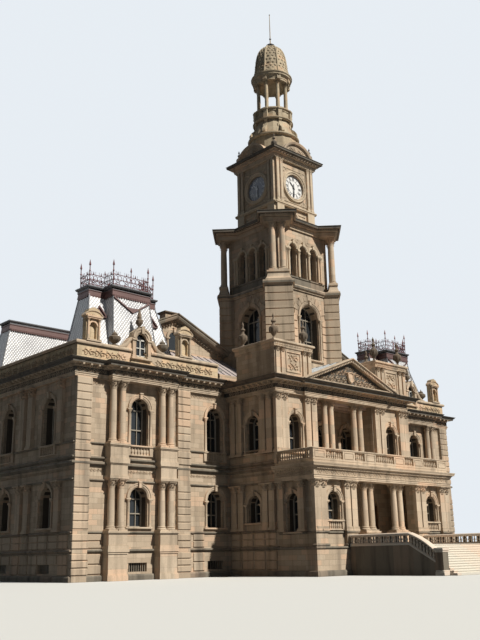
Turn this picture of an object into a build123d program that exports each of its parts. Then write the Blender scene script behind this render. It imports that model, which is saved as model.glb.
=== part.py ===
"""Sandstone town hall with a clock tower, modelled at half its real size.

The front faces -Y, +Z is up and the origin lies on the ground, on the axis of the tower and in
the plane of the upper pilasters of the main block. All lengths are in millimetres.
"""
import os
from math import atan, cos, degrees, radians, sin, sqrt

from build123d import *

# Levels of the main block
ground_floor_top = 1100
ground_order_base = 1675
porch_order_top = 3650
ledge_top = 4250
upper_floor_top = 4375
upper_order_base = 4860
upper_order_top = 7370
main_cornice_top = 8000

# Walls and floors
wall_thickness = 450
slab_thickness = 150
glass_thickness = 20
glass_lap = 50
basement_slab = 100
pilaster_depth = 150
arch_sides = 10
shaft_sides = 8

# Main block
main_half_width = 4500
column_radius = 140
pilaster_width = 310
inner_column_x = 775
outer_column_x = 1200
inner_pilaster_x = 2160
outer_pilaster_x = 2560
near_corner_x = 3975
corner_x = 4350
end_window_x = 3250
end_window_width = 720
end_window_sill = 4950
end_window_spring = 6200
loggia_half_width = 1950
loggia_depth = 1350
loggia_door_width = 900
loggia_door_spring = 6100
frieze_projection = 60
main_cornice_projection = 480
centre_break = 90
centre_break_half = 2820

# Porch
porch_front_y = -1950
porch_half_width = 4500
porch_wall = 400
porch_window_sill = 2100
porch_window_spring = 2850
porch_side_arch_width = 640
porch_side_arch_spring = 2850
entrance_door_width = 950
side_door_x = 1680
side_door_width = 620
entrance_door_spring = 2850
door_leaf_thickness = 50
balcony_rail_top = 4860
balustrade_thickness = 170
baluster_pitch = 330
baluster_width = 95
rail_joint = 2

# Pediment and attic over the main block
pediment_half = 3250
pediment_rise = 1250
pediment_front_y = -430
attic_inner_x = 2250
attic_depth = 2350
attic_wall = 300
attic_body_top = 9350
attic_top = 9600
urn_height = 1250
urn_radius = 210
attic_urn_inset = 210

# Wings
wing_wall_y = 3075
wing_half_width = 12140
wing_depth = 10400
wing_order_base = 5050
wing_order_top = 7530
wing_ground_base = 1785
wing_ground_order_top = 3720
wing_cornice_top = 8200
pavilion_x = 9150
wing_window_width = 860
link_window_x = 5220
window_sill = 5080
window_spring = 6540
ground_window_sill = 1950
ground_window_spring = 3040
basement_window_height = 330
basement_window_sill = 300
pavilion_column_x = (975, 1410)
wing_pier_x = (6970, 11815)
wing_pier_width = 640
wing_pier_depth = 120
wing_break_half = 1600
wing_cornice_projection = 390
column_stand_off = 205
pedestal_half_width = 430
wall_pedestal_half = 390
parapet_top = 8960
parapet_thickness = 250
parapet_urn_height = 700
parapet_urn_radius = 240
parapet_urn_offset = 1200

# Mansard pavilions and link roofs
mansard_top = 11600
mansard_half_width = 2300
mansard_base_half = 2250
mansard_top_half = 1640
mansard_front_y = 3500
mansard_back_y = 5450
mansard_top_front_y = 4500
mansard_top_back_y = 5200
mansard_bay_half = 1150
mansard_bay_top_half = 890
mansard_bay_front_y = 3350
mansard_bay_top_y = 3850
curb_height = 160
curb_overhang = 90
crest_height = 620
dormer_half_width = 480
dormer_spring = 9420
aedicule_offset = 2300
aedicule_half_width = 320
aedicule_top = 10220
gable_y = 5500
gable_x = 5550
gable_half_width = 2950
gable_eaves = 10300
gable_rise = 1300
roof_thickness = 120
lean_to_x = (2600, 6800)
lean_to_y = 3600
lean_to_eaves = 8700
lean_to_top = 9900
chimney_offset = -150
chimney_setback = 600
chimney_foot = 350
chimney_height = 260
chimney_cap = 90
chimney_size = (700, 450)

# Tower
tower_y = 4050
tower_half = 2015
tower_wall = 500
tower_pier_width = 1230
tower_pier_reach = 2915
tower_arch_width = 1300
tower_arch_sill = 9700
tower_arch_spring = 11750
tower_stage_top = 13000
string_top = 13250
string_projection = 130
inner_pier = 600
belfry_half = 1750
belfry_wall = 400
belfry_pedestal_top = 13750
belfry_sill = 13800
belfry_spring = 15250
belfry_arch_width = 500
belfry_arch_pitch = 720
louvre_depth = 60
louvre_recess = 300
louvre_pitch = 500
belfry_top = 16250
belfry_cornice_top = 16700
belfry_cornice_projection = 300
belfry_column_radius = 150
belfry_column_gap = 230
clock_half = 1350
clock_wall = 300
clock_base_top = 17750
clock_order_top = 20150
clock_pilaster_width = 190
clock_pilaster_depth = 110
clock_pilaster_x = (975, 1230)
clock_cornice_top = 20550
clock_cornice_projection = 320
clock_pediment_half = 1000
clock_pediment_rise = 600
clock_pediment_depth = 300
clock_urn_height = 950
clock_urn_radius = 150
dial_z = 18850
dial_radius = 650
dial_clearance = 1
dial_ring_radius = 850
dial_ring_depth = 40
dial_thickness = 60
dial_reveal = 50
dial_sides = 20
lantern_sides = 16
lantern_base_radius = 1250
scroll_base_z = 21900
scroll_radius = 1180
drum_base_z = 22900
drum_radius = 960
colonnade_base_z = 23500
colonnade_top_z = 25200
lantern_column_radius = 105
lantern_column_circle = 780
lantern_cornice_top = 25650
lantern_cornice_radius = 1050
dome_base_z = 26100
dome_radius = 885
dome_top_z = 27600
finial_top_z = 27950
pole_top_z = 29840
pole_radius = 30

# Clock hands
arbor_radius = 24
arbor_sides = 16
arbor_clearance = 0.4
hand_thickness = 14
hand_gap = 12
minute_hand_length = 560
hour_hand_length = 380
hand_hub_radius = 60
minute_angle = 180
hour_angle = 315

# Front stairs
stair_half_width = 2350
landing_end_y = -4800
step_count = 13
step_tread = 150
stair_wall = 260
stair_rail_height = 400
stair_slope_end_y = -5950
stair_slope_end_z = 450
newel_width = 330
newel_top = 950

os.makedirs("parts", exist_ok=True)


def save(piece, name):
    """Label a finished piece and write it as its own file."""
    piece.part.label = name
    export_step(piece.part, f"parts/{name}.step")


def front_plane(y):
    """Plane facing the viewer at depth y: sketch x is X and sketch y is Z."""
    return Plane.XZ.offset(-y)


def side_plane(x):
    """Plane across the building at x: sketch x is Y and sketch y is Z."""
    return Plane.YZ.offset(x)


def block(x, y, z, mode=Mode.ADD):
    """Rectangular block between the given pairs of x, y and z."""
    with BuildSketch(Plane.XY.offset(z[0])) as base:
        with Locations(((x[0] + x[1]) / 2, (y[0] + y[1]) / 2)):
            Rectangle(x[1] - x[0], y[1] - y[0])
    extrude(base.sketch, amount=z[1] - z[0], mode=mode)


def flared(x, y, z, flare):
    """Block whose four sides lean outwards by flare at the top, as a cyma moulding does."""
    rise = z[1] - z[0]
    with BuildSketch(Plane.XY.offset(z[0])) as base:
        with Locations(((x[0] + x[1]) / 2, (y[0] + y[1]) / 2)):
            Rectangle(x[1] - x[0], y[1] - y[0])
    extrude(base.sketch, amount=rise, taper=-degrees(atan(flare / rise)))


def squares(places, level, height, width, depth, taper=0, mode=Mode.ADD):
    """Rectangular prisms of one size on all the places."""
    with BuildSketch(Plane.XY.offset(level)) as base:
        with Locations(*places):
            Rectangle(width, depth)
    extrude(base.sketch, amount=height, taper=taper, mode=mode)


def rounds(places, level, height, radius, top_radius, sides):
    """Many-sided drums or cones of one size on all the places."""
    with BuildSketch(Plane.XY.offset(level)) as base:
        with Locations(*places):
            RegularPolygon(radius, sides)
    lean = (radius - top_radius) * cos(radians(180 / sides)) / height
    extrude(base.sketch, amount=height, taper=degrees(atan(lean)))


def arched_hole(along, sill, spring, width):
    """Outline of a round-headed opening, standing in the sketch of a wall."""
    with Locations((along, (sill + spring) / 2)):
        Rectangle(width, spring - sill)
    with Locations((along, spring)):
        RegularPolygon(width / 2, arch_sides)


def columns(places, bottom, top, radius, sides=shaft_sides):
    """Round columns with a square foot, a tapering shaft and a flaring square capital."""
    foot = 1.2 * radius
    capital = 2.6 * radius
    neck = 1.9 * radius
    lean = 0.45 * radius
    squares(places, bottom, foot, 2.9 * radius, 2.9 * radius)
    rounds(places, bottom + foot, top - bottom - foot - capital, radius, 0.86 * radius, sides)
    squares(places, top - capital, capital, neck, neck, -degrees(atan(lean / capital)))


def pilasters(places, bottom, top, width, depth):
    """Flat piers with a foot, a shaft and a flaring capital, centred on the places."""
    foot = 0.55 * width
    capital = 1.15 * width
    proud = 0.12 * width
    squares(places, bottom, foot, width + 2 * proud, depth + 2 * proud)
    squares(places, bottom + foot, top - bottom - foot - capital, width, depth)
    squares(places, top - capital, capital, width, depth, -degrees(atan(proud / capital)))


def urns(places, bottom, height, radius):
    """Garden urns on square feet: stem, swelling bowl and tapering neck."""
    rings = (
        (0.00, 0.30, 0.50, 0.40),
        (0.30, 0.60, 0.40, 1.00),
        (0.60, 1.00, 1.00, 0.25),
    )
    squares(places, bottom, 0.12 * height, 1.5 * radius, 1.5 * radius)
    for low, high, start, end in rings:
        rounds(places, bottom + low * height, (high - low) * height, start * radius, end * radius, 6)


def tower_piers_outline(extra=0):
    """The four piers that stand diagonally on the corners of the tower, seen from above."""
    inner = sqrt(2) * (tower_half - tower_wall)
    for turn in (45, 135, 225, 315):
        reach = (inner + tower_pier_reach) / 2 + extra / 2
        with Locations(Location((reach * cos(radians(turn)), tower_y + reach * sin(radians(turn)), 0), turn)):
            Rectangle(tower_pier_reach - inner + extra, tower_pier_width + 2 * extra)


def clear_of_tower(z):
    """Cut a roof or wall back to the corner piers of the tower."""
    with BuildSketch(Plane.XY.offset(z[0])) as outline:
        tower_piers_outline()
    extrude(outline.sketch, amount=z[1] - z[0], mode=Mode.SUBTRACT)


def both_sides(*places):
    """The given places and their mirror images across the middle plane of the building."""
    return [(side * x, y) for x, y in places for side in (-1, 1)]


# Outline of the walls: the front part of the main block and the body that holds the wings
main_wall_y = pilaster_depth
main_wall_x = main_half_width - pilaster_depth
wing_back_y = wing_wall_y + wing_depth
main_inside_x = main_wall_x - wall_thickness
main_inside_y = main_wall_y + wall_thickness
wing_inside_x = wing_half_width - wall_thickness
wing_inside_front = wing_wall_y + wall_thickness
wing_inside_back = wing_back_y - wall_thickness
loggia_wall_y = main_wall_y + loggia_depth
loggia_wall_back = loggia_wall_y + wall_thickness
side_window_y = [wing_wall_y + wing_depth * share for share in (0.18, 0.5, 0.82)]
back_window_x = (link_window_x, pavilion_x)
tower_low_y = tower_y - tower_half
pier_middle = tower_half - inner_pier / 2


def floor_outline():
    """Floor of the main block and of the wings, between the inner faces of the walls."""
    with Locations((0, (wing_inside_front + wing_inside_back) / 2)):
        Rectangle(2 * wing_inside_x, wing_inside_back - wing_inside_front)
    with Locations((0, (main_inside_y + wing_inside_front) / 2)):
        Rectangle(2 * main_inside_x, wing_inside_front - main_inside_y)


for name, top, thickness in (
    ("basement_floor", basement_slab, basement_slab),
    ("ground_floor", ground_floor_top, slab_thickness),
    ("upper_floor", upper_floor_top, slab_thickness),
    ("roof_deck", upper_order_top + slab_thickness, slab_thickness),
):
    with BuildPart() as floor:
        with BuildSketch(Plane.XY.offset(top - thickness)):
            floor_outline()
        extrude(amount=thickness)
    save(floor, name)

# Great piers that carry the tower down to the basement floor
with BuildPart() as tower_piers:
    for low, high in (
        (basement_slab, ground_floor_top - slab_thickness),
        (ground_floor_top, upper_floor_top - slab_thickness),
        (upper_floor_top, upper_order_top),
    ):
        with BuildSketch(Plane.XY.offset(low)):
            with Locations((0, tower_y)):
                with GridLocations(2 * pier_middle, 2 * pier_middle, 2, 2):
                    Rectangle(inner_pier, inner_pier)
        extrude(amount=high - low)
save(tower_piers, "tower_piers")

# Front wall of the main block: doorways behind the porch, end windows and an open loggia above
end_bays = (-end_window_x, end_window_x)
pair_x = (inner_pilaster_x, outer_pilaster_x, near_corner_x, corner_x - pilaster_depth / 2)
pedestal_x = ((inner_pilaster_x + outer_pilaster_x) / 2, (near_corner_x + corner_x) / 2)
with BuildPart() as main_front_wall:
    with BuildSketch(front_plane(main_wall_y)):
        with Locations((0, upper_order_top / 2)):
            Rectangle(2 * main_wall_x, upper_order_top)
    extrude(amount=-wall_thickness)
    with BuildSketch(front_plane(main_wall_y)):
        for x in end_bays:
            arched_hole(x, end_window_sill, end_window_spring, end_window_width)
            arched_hole(x, porch_window_sill, porch_window_spring, end_window_width)
        arched_hole(0, ground_floor_top, entrance_door_spring, entrance_door_width)
        for x in (-side_door_x, side_door_x):
            arched_hole(x, ground_floor_top, entrance_door_spring, side_door_width)
        with Locations((0, (upper_floor_top + upper_order_top) / 2)):
            Rectangle(2 * loggia_half_width, upper_order_top - upper_floor_top)
    extrude(amount=-wall_thickness, mode=Mode.SUBTRACT)
    pilasters(
        both_sides(*[(x, main_wall_y - pilaster_depth / 2) for x in pair_x]),
        upper_order_base, upper_order_top, pilaster_width, pilaster_depth,
    )
    squares(
        both_sides(*[(x, main_wall_y - pilaster_depth / 2) for x in pedestal_x]),
        upper_floor_top, upper_order_base - upper_floor_top, 2 * wall_pedestal_half, pilaster_depth,
    )
save(main_front_wall, "main_front_wall")

# Wall with three glazed doors at the back of the loggia
with BuildPart() as loggia_wall:
    with BuildSketch(front_plane(loggia_wall_y)):
        with Locations((0, (upper_floor_top + upper_order_top) / 2)):
            Rectangle(2 * (loggia_half_width + wall_thickness), upper_order_top - upper_floor_top)
    extrude(amount=-wall_thickness)
    with BuildSketch(front_plane(loggia_wall_y)):
        for x in (-side_door_x, 0, side_door_x):
            arched_hole(x, upper_floor_top, loggia_door_spring, loggia_door_width)
    extrude(amount=-wall_thickness, mode=Mode.SUBTRACT)
save(loggia_wall, "loggia_wall")

# Walls of the wings in front, then the side walls of the main block, the loggia and the wings
wing_bays = (link_window_x, pavilion_x)


def wing_windows(places, width):
    """Basement, ground and upper window openings on the given axes, in the sketch of a wall."""
    for along in places:
        arched_hole(along, window_sill, window_spring, width)
        arched_hole(along, ground_window_sill, ground_window_spring, width)
        with Locations((along, basement_window_sill + basement_window_height / 2)):
            Rectangle(width, basement_window_height)


front_length = wing_half_width - main_inside_x
front_centre = (wing_half_width + main_inside_x) / 2
with BuildPart() as wing_front_walls:
    for side in (-1, 1):
        with BuildSketch(front_plane(wing_wall_y)):
            with Locations((side * front_centre, wing_order_top / 2)):
                Rectangle(front_length, wing_order_top)
        extrude(amount=-wall_thickness)
        with BuildSketch(front_plane(wing_wall_y)):
            wing_windows([side * x for x in wing_bays], wing_window_width)
        extrude(amount=-wall_thickness, mode=Mode.SUBTRACT)
    squares(both_sides(*[(x, wing_wall_y - wing_pier_depth / 2) for x in wing_pier_x]), 0, wing_order_top,
            wing_pier_width, wing_pier_depth)
save(wing_front_walls, "wing_front_walls")

side_length = wing_inside_back - wing_inside_front
side_centre = (wing_inside_back + wing_inside_front) / 2
side_bay_y = (main_inside_y + wing_wall_y) / 2 - 250
side_pilaster_y = [side_bay_y + offset for offset in (-1130, -730, 730, 1130)]
with BuildPart() as side_walls:
    for side in (-1, 1):
        x = sorted((side * main_inside_x, side * main_wall_x))
        block(x, (main_inside_y, wing_wall_y), (0, upper_order_top))
    with BuildSketch(side_plane(-main_half_width)):
        arched_hole(side_bay_y, end_window_sill, end_window_spring, end_window_width)
        arched_hole(side_bay_y, porch_window_sill, porch_window_spring, end_window_width)
    extrude(amount=2 * main_half_width, mode=Mode.SUBTRACT)
    pilasters(
        both_sides(*[(main_wall_x + pilaster_depth / 2, y) for y in side_pilaster_y]),
        upper_order_base, upper_order_top, pilaster_depth, pilaster_width,
    )
    block((-main_wall_x, main_wall_x), (0, main_inside_y), (0, upper_order_top), mode=Mode.SUBTRACT)
    for side in (-1, 1):
        x = sorted((side * loggia_half_width, side * (loggia_half_width + wall_thickness)))
        block(x, (main_inside_y, loggia_wall_y), (upper_floor_top, upper_order_top))
    for low in (-wing_half_width, wing_inside_x):
        with BuildSketch(side_plane(low)):
            with Locations((side_centre, wing_order_top / 2)):
                Rectangle(side_length, wing_order_top)
        extrude(amount=wall_thickness)
        with BuildSketch(side_plane(low)):
            wing_windows(side_window_y, wing_window_width)
        extrude(amount=wall_thickness, mode=Mode.SUBTRACT)
save(side_walls, "side_walls")

with BuildPart() as back_wall:
    with BuildSketch(front_plane(wing_inside_back)):
        with Locations((0, wing_order_top / 2)):
            Rectangle(2 * wing_half_width, wing_order_top)
    extrude(amount=-wall_thickness)
    with BuildSketch(front_plane(wing_inside_back)):
        wing_windows([side * x for x in back_window_x for side in (-1, 1)], wing_window_width)
        wing_windows([0], wing_window_width)
    extrude(amount=-wall_thickness, mode=Mode.SUBTRACT)
save(back_wall, "back_wall")

# Free columns of the front pavilions, two orders high, on their pedestals
with BuildPart() as pavilion_columns:
    stand_y = wing_wall_y - column_stand_off
    places = both_sides(*[(pavilion_x + side * x, stand_y) for x in pavilion_column_x for side in (-1, 1)])
    columns(places, wing_ground_base, wing_ground_order_top, column_radius)
    columns(places, wing_order_base, wing_order_top, column_radius)
    pedestals = both_sides(*[(pavilion_x + side * sum(pavilion_column_x) / 2, stand_y) for side in (-1, 1)])
    squares(pedestals, 0, wing_ground_base, 2 * pedestal_half_width, 2 * column_stand_off)
    squares(pedestals, wing_ground_order_top, wing_order_base - wing_ground_order_top,
            2 * pedestal_half_width, 2 * column_stand_off)
save(pavilion_columns, "pavilion_columns")


def ring(z, projection, flare=0, broken=False):
    """Band that runs round the wings and the back, and breaks forward over the pavilion columns."""
    flared(
        (-wing_half_width - projection, wing_half_width + projection),
        (wing_wall_y - projection, wing_back_y + projection), z, flare,
    )
    half = wing_break_half + projection - wing_pier_depth
    for x in (-pavilion_x, pavilion_x) if broken else ():
        flared((x - half, x + half), (wing_wall_y - wing_break - projection, wing_wall_y), z, flare)


def clear_of_main(z, inside_x, inside_y, main_x):
    """Take the inside of the building and the place of the main block out of such a band."""
    block((-inside_x, inside_x), inside_y, z, mode=Mode.SUBTRACT)
    block((-main_x, main_x), (wing_wall_y - 2000, inside_y[0]), z, mode=Mode.SUBTRACT)


# Wing cornice with its frieze, and the parapet wall that stands on it
wing_break = 2 * column_stand_off - wing_pier_depth
main_edge = main_half_width + main_cornice_projection
with BuildPart() as wing_entablature:
    cornice_bottom = wing_cornice_top - 260
    cornice_edge = wing_pier_depth + wing_cornice_projection
    ring((wing_order_top, cornice_bottom), wing_pier_depth, 0, True)
    ring((cornice_bottom, cornice_bottom + 120), cornice_edge - 270, 160, True)
    ring((cornice_bottom + 120, wing_cornice_top), cornice_edge - 60, 60, True)
    clear_of_main((wing_order_top, wing_cornice_top), wing_inside_x, (wing_inside_front, wing_inside_back),
                  main_edge)
save(wing_entablature, "wing_entablature")

with BuildPart() as wing_parapet:
    ring((wing_cornice_top, parapet_top - 120), 0)
    ring((parapet_top - 120, parapet_top), 60)
    inner = parapet_thickness
    clear_of_main(
        (wing_cornice_top, parapet_top), wing_half_width - inner,
        (wing_wall_y + inner, wing_back_y - inner), main_edge,
    )
    squares(both_sides((pavilion_x, wing_wall_y), (pavilion_x, wing_back_y)), wing_cornice_top,
            parapet_top - wing_cornice_top, 2 * dormer_half_width, 2 * inner, mode=Mode.SUBTRACT)
save(wing_parapet, "wing_parapet")

# Main cornice with its frieze, broken forward under the pediment
with BuildPart() as main_entablature:
    for z, projection, flare in (
        ((upper_order_top, upper_order_top + 170), frieze_projection, 0),
        ((upper_order_top + 170, upper_order_top + 380), 0, 0),
        ((upper_order_top + 380, upper_order_top + 500), 120, 160),
        ((upper_order_top + 500, main_cornice_top), main_cornice_projection - 60, 60),
    ):
        flared((-main_half_width - projection, main_half_width + projection),
               (-projection, wing_inside_front), z, flare)
        flared((-centre_break_half - projection, centre_break_half + projection),
               (-projection - centre_break, main_inside_y), z, flare)
    block((-main_inside_x, main_inside_x), (main_inside_y, wing_inside_front),
          (upper_order_top, main_cornice_top), mode=Mode.SUBTRACT)
    block((-wing_half_width, wing_half_width), (wing_wall_y, wing_inside_front),
          (upper_order_top, wing_order_top), mode=Mode.SUBTRACT)
    block((-wing_half_width, wing_half_width), (wing_inside_front, tower_y),
          (upper_order_top, main_cornice_top), mode=Mode.SUBTRACT)
save(main_entablature, "main_entablature")

with BuildPart() as portico_columns:
    places = both_sides(*[(x, main_wall_y + column_radius) for x in (inner_column_x, outer_column_x)])
    columns(places, upper_order_base, upper_order_top, column_radius)
    squares(both_sides(((inner_column_x + outer_column_x) / 2, main_wall_y + column_radius)),
            upper_floor_top, upper_order_base - upper_floor_top, 2 * pedestal_half_width, 420)
    column_y = porch_front_y + pilaster_depth + column_radius
    columns(both_sides(*[(x, column_y) for x in (inner_column_x, outer_column_x)]),
            ground_order_base, porch_order_top, column_radius)
    squares(both_sides(((inner_column_x + outer_column_x) / 2, column_y)), ground_floor_top,
            ground_order_base - ground_floor_top, 2 * pedestal_half_width, 420)
save(portico_columns, "portico_columns")

# Pediment over the three middle bays, and the low metal roof behind it
rake = atan(pediment_rise / pediment_half)
rake_drop = 150 / cos(rake)
with BuildPart() as pediment:
    with BuildSketch(front_plane(pediment_front_y)):
        with BuildLine():
            Polyline((-pediment_half, main_cornice_top), (pediment_half, main_cornice_top),
                     (0, main_cornice_top + pediment_rise + 50), close=True)
        make_face()
    extrude(amount=pediment_front_y)
    with BuildSketch(front_plane(pediment_front_y)):
        with BuildLine():
            Polyline((-pediment_half + 600, main_cornice_top + 80),
                     (pediment_half - 600, main_cornice_top + 80),
                     (0, main_cornice_top + pediment_rise + 50 - rake_drop), close=True)
        make_face()
    extrude(amount=-180, mode=Mode.SUBTRACT)
save(pediment, "pediment")

with BuildPart() as pediment_roof:
    with BuildSketch(front_plane(0)):
        with BuildLine():
            Polyline((-attic_inner_x + 20, main_cornice_top + 320),
                     (0, main_cornice_top + pediment_rise),
                     (attic_inner_x - 20, main_cornice_top + 320),
                     (attic_inner_x - 20, main_cornice_top + 220),
                     (0, main_cornice_top + pediment_rise - 100),
                     (-attic_inner_x + 20, main_cornice_top + 220), close=True)
        make_face()
    extrude(amount=-tower_low_y)
    clear_of_tower((main_cornice_top, attic_top))
save(pediment_roof, "pediment_roof")

# Attic blocks over the end bays, with their urns
with BuildPart() as attic_blocks:
    for side in (-1, 1):
        x = sorted((side * attic_inner_x, side * main_half_width))
        flared(x, (0, attic_depth), (main_cornice_top, attic_body_top), 0)
        flared((x[0] - 40, x[1] + 40), (-40, attic_depth + 40), (attic_body_top, attic_top - 90), 60)
        flared((x[0] - 130, x[1] + 130), (-130, attic_depth + 130), (attic_top - 90, attic_top), 0)
        block((x[0] + attic_wall, x[1] - attic_wall), (attic_wall, attic_depth - attic_wall),
              (main_cornice_top, attic_body_top), mode=Mode.SUBTRACT)
    clear_of_tower((main_cornice_top, attic_top))
save(attic_blocks, "attic_blocks")


# Porch: base, end bays, side arches, columns and entablature
porch_wall_y = porch_front_y + pilaster_depth
porch_inside_y = porch_wall_y + porch_wall
porch_wall_x = porch_half_width - pilaster_depth
porch_inside_x = porch_wall_x - porch_wall
bay_edge_x = inner_pilaster_x - pilaster_width / 2
porch_side_y = (porch_inside_y + main_wall_y) / 2
with BuildPart() as porch_base:
    block((-porch_half_width, porch_half_width), (porch_front_y, main_wall_y), (0, ground_floor_top))
    block((-porch_inside_x, porch_inside_x), (porch_inside_y, main_wall_y),
          (basement_slab, ground_floor_top - slab_thickness), mode=Mode.SUBTRACT)
save(porch_base, "porch_base")

with BuildPart() as porch_front_walls:
    for side in (-1, 1):
        x = sorted((side * bay_edge_x, side * porch_wall_x))
        block(x, (porch_wall_y, porch_inside_y), (ground_floor_top, porch_order_top))
    with BuildSketch(front_plane(porch_wall_y)):
        for x in end_bays:
            arched_hole(x, porch_window_sill, porch_window_spring, end_window_width)
    extrude(amount=-porch_wall, mode=Mode.SUBTRACT)
    pilasters(
        both_sides(*[(x, porch_wall_y - pilaster_depth / 2) for x in pair_x]),
        ground_order_base, porch_order_top, pilaster_width, pilaster_depth,
    )
    squares(
        both_sides(*[(x, porch_wall_y - pilaster_depth / 2) for x in pedestal_x]),
        ground_floor_top, ground_order_base - ground_floor_top,
        2 * (porch_half_width - pedestal_x[1]), pilaster_depth,
    )
save(porch_front_walls, "porch_front_walls")

with BuildPart() as porch_side_walls:
    for side in (-1, 1):
        x = sorted((side * porch_inside_x, side * porch_wall_x))
        block(x, (porch_inside_y, main_wall_y), (ground_floor_top, porch_order_top))
    with BuildSketch(side_plane(-porch_half_width)):
        arched_hole(porch_side_y, ground_order_base, porch_side_arch_spring, porch_side_arch_width)
    extrude(amount=2 * porch_half_width, mode=Mode.SUBTRACT)
    pilasters(
        both_sides(*[(porch_wall_x + pilaster_depth / 2, porch_side_y + offset) for offset in (-560, 560)]),
        ground_order_base, porch_order_top, pilaster_depth, pilaster_width,
    )
    block((-porch_wall_x, porch_wall_x), (porch_front_y, porch_inside_y),
          (ground_floor_top, porch_order_top), mode=Mode.SUBTRACT)
save(porch_side_walls, "porch_side_walls")

with BuildPart() as porch_entablature:
    for z, projection, flare in (
        ((porch_order_top, ledge_top - 220), frieze_projection, 0),
        ((ledge_top - 220, ledge_top - 110), 100, 80),
        ((ledge_top - 110, ledge_top), 220, 30),
    ):
        flared((-porch_half_width - projection, porch_half_width + projection),
               (porch_front_y - projection, main_wall_y), z, flare)
    block((-porch_inside_x, porch_inside_x), (porch_inside_y, main_wall_y),
          (porch_order_top, ledge_top), mode=Mode.SUBTRACT)
    block((-wing_half_width, wing_half_width), (main_wall_y, wing_wall_y),
          (porch_order_top, ledge_top), mode=Mode.SUBTRACT)
    block((-porch_half_width, porch_half_width), (porch_front_y, main_wall_y), (ledge_top, upper_floor_top))
save(porch_entablature, "porch_entablature")


def balustrade(x, y, z, axis):
    """Two rails with square balusters between them, running along X or along Y."""
    rail = 0.2 * (z[1] - z[0])
    block(x, y, (z[0], z[0] + rail))
    block(x, y, (z[1] - rail, z[1]))
    run = x if axis == "x" else y
    across = sum(y if axis == "x" else x) / 2
    count = int((run[1] - run[0]) / baluster_pitch)
    start = (run[0] + run[1] - (count - 1) * baluster_pitch) / 2
    spots = [start + step * baluster_pitch for step in range(count)]
    places = [(spot, across) if axis == "x" else (across, spot) for spot in spots]
    squares(places, z[0] + rail, z[1] - z[0] - 2 * rail, baluster_width, baluster_width)


rail_z = (upper_floor_top, balcony_rail_top)
rail_y = (porch_front_y, porch_front_y + balustrade_thickness)
with BuildPart() as balcony_rails:
    edges = [-pedestal_x[1], -pedestal_x[0], -(inner_column_x + outer_column_x) / 2]
    edges += [-edge for edge in reversed(edges)]
    half = pedestal_half_width - 60
    for low, high in zip(edges, edges[1:]):
        balustrade((low + half, high - half), rail_y, rail_z, "x")
    squares([(edge, sum(rail_y) / 2) for edge in edges], rail_z[0], rail_z[1] - rail_z[0], 2 * half,
            balustrade_thickness)
    for side in (-1, 1):
        x = sorted((side * (porch_half_width - balustrade_thickness), side * porch_half_width))
        balustrade(x, (rail_y[1] + rail_joint, 0), rail_z, "y")
save(balcony_rails, "balcony_rails")

# Terrace, steps and their side walls
riser = ground_floor_top / step_count
flight = [(porch_front_y, 0), (porch_front_y, ground_floor_top), (landing_end_y, ground_floor_top)]
for step in range(1, step_count):
    edge = landing_end_y - step_tread * (step - 1)
    flight += [(edge, ground_floor_top - riser * step), (edge - step_tread, ground_floor_top - riser * step)]
flight.append((landing_end_y - step_tread * (step_count - 1), 0))
with BuildPart() as front_steps:
    with BuildSketch(side_plane(-stair_half_width)):
        with BuildLine():
            Polyline(*flight, close=True)
        make_face()
    extrude(amount=2 * stair_half_width)
save(front_steps, "front_steps")

with BuildPart() as stair_walls:
    for low in (-stair_half_width - stair_wall, stair_half_width):
        with BuildSketch(side_plane(low)):
            with BuildLine():
                Polyline(
                    (porch_front_y, 0), (stair_slope_end_y, 0), (stair_slope_end_y, stair_slope_end_z),
                    (landing_end_y, ground_floor_top), (porch_front_y, ground_floor_top), close=True,
                )
            make_face()
        extrude(amount=stair_wall)
    newel_y = stair_slope_end_y - newel_width / 2
    squares(both_sides((stair_half_width + newel_width / 2, newel_y)), 0, newel_top, newel_width, newel_width)
    for low in (-stair_half_width - stair_wall + 40, stair_half_width + 40):
        balustrade((low, low + stair_wall - 80), (landing_end_y, porch_front_y),
                   (ground_floor_top, ground_floor_top + stair_rail_height), "y")
        with BuildSketch(side_plane(low)) as slope:
            with BuildLine():
                Polyline(
                    (landing_end_y, ground_floor_top), (stair_slope_end_y, stair_slope_end_z),
                    (stair_slope_end_y, stair_slope_end_z + stair_rail_height),
                    (landing_end_y, ground_floor_top + stair_rail_height), close=True,
                )
            make_face()
        extrude(slope.sketch, amount=stair_wall - 80)
save(stair_walls, "stair_walls")

# Door leaves, standing open against the sides of the three front doorways
with BuildPart() as entrance_doors:
    for x, width in ((0, entrance_door_width), (-side_door_x, side_door_width),
                     (side_door_x, side_door_width)):
        for side in (-1, 1):
            edges = sorted((x + side * width / 2, x + side * (width / 2 - door_leaf_thickness)))
            block(edges, (main_wall_y + 40, main_inside_y), (ground_floor_top, entrance_door_spring))
save(entrance_doors, "entrance_doors")

# Tower: lower stage with an arch in each face between the diagonal corner piers
tower_z = (upper_order_top + slab_thickness, tower_stage_top)
tower_inner = tower_half - tower_wall


def tower_face_pair(name, half, wall, z, holes, faces_front):
    """Two opposite walls of a tower stage; the front and back pair covers the corners."""
    with BuildPart() as walls:
        for side in (-1, 1):
            across = sorted((side * (half - wall), side * half))
            if faces_front:
                block((-half, half), (tower_y + across[0], tower_y + across[1]), z)
            else:
                block(across, (tower_y - half + wall, tower_y + half - wall), z)
        plane = front_plane(tower_y - half) if faces_front else side_plane(-half)
        middle = 0 if faces_front else tower_y
        with BuildSketch(plane) as openings:
            for offset, sill, spring, width in holes:
                arched_hole(middle + offset, sill, spring, width)
        extrude(openings.sketch, amount=(-2 if faces_front else 2) * half, mode=Mode.SUBTRACT)
        if z == tower_z:
            clear_of_tower(z)
    save(walls, name)


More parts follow.
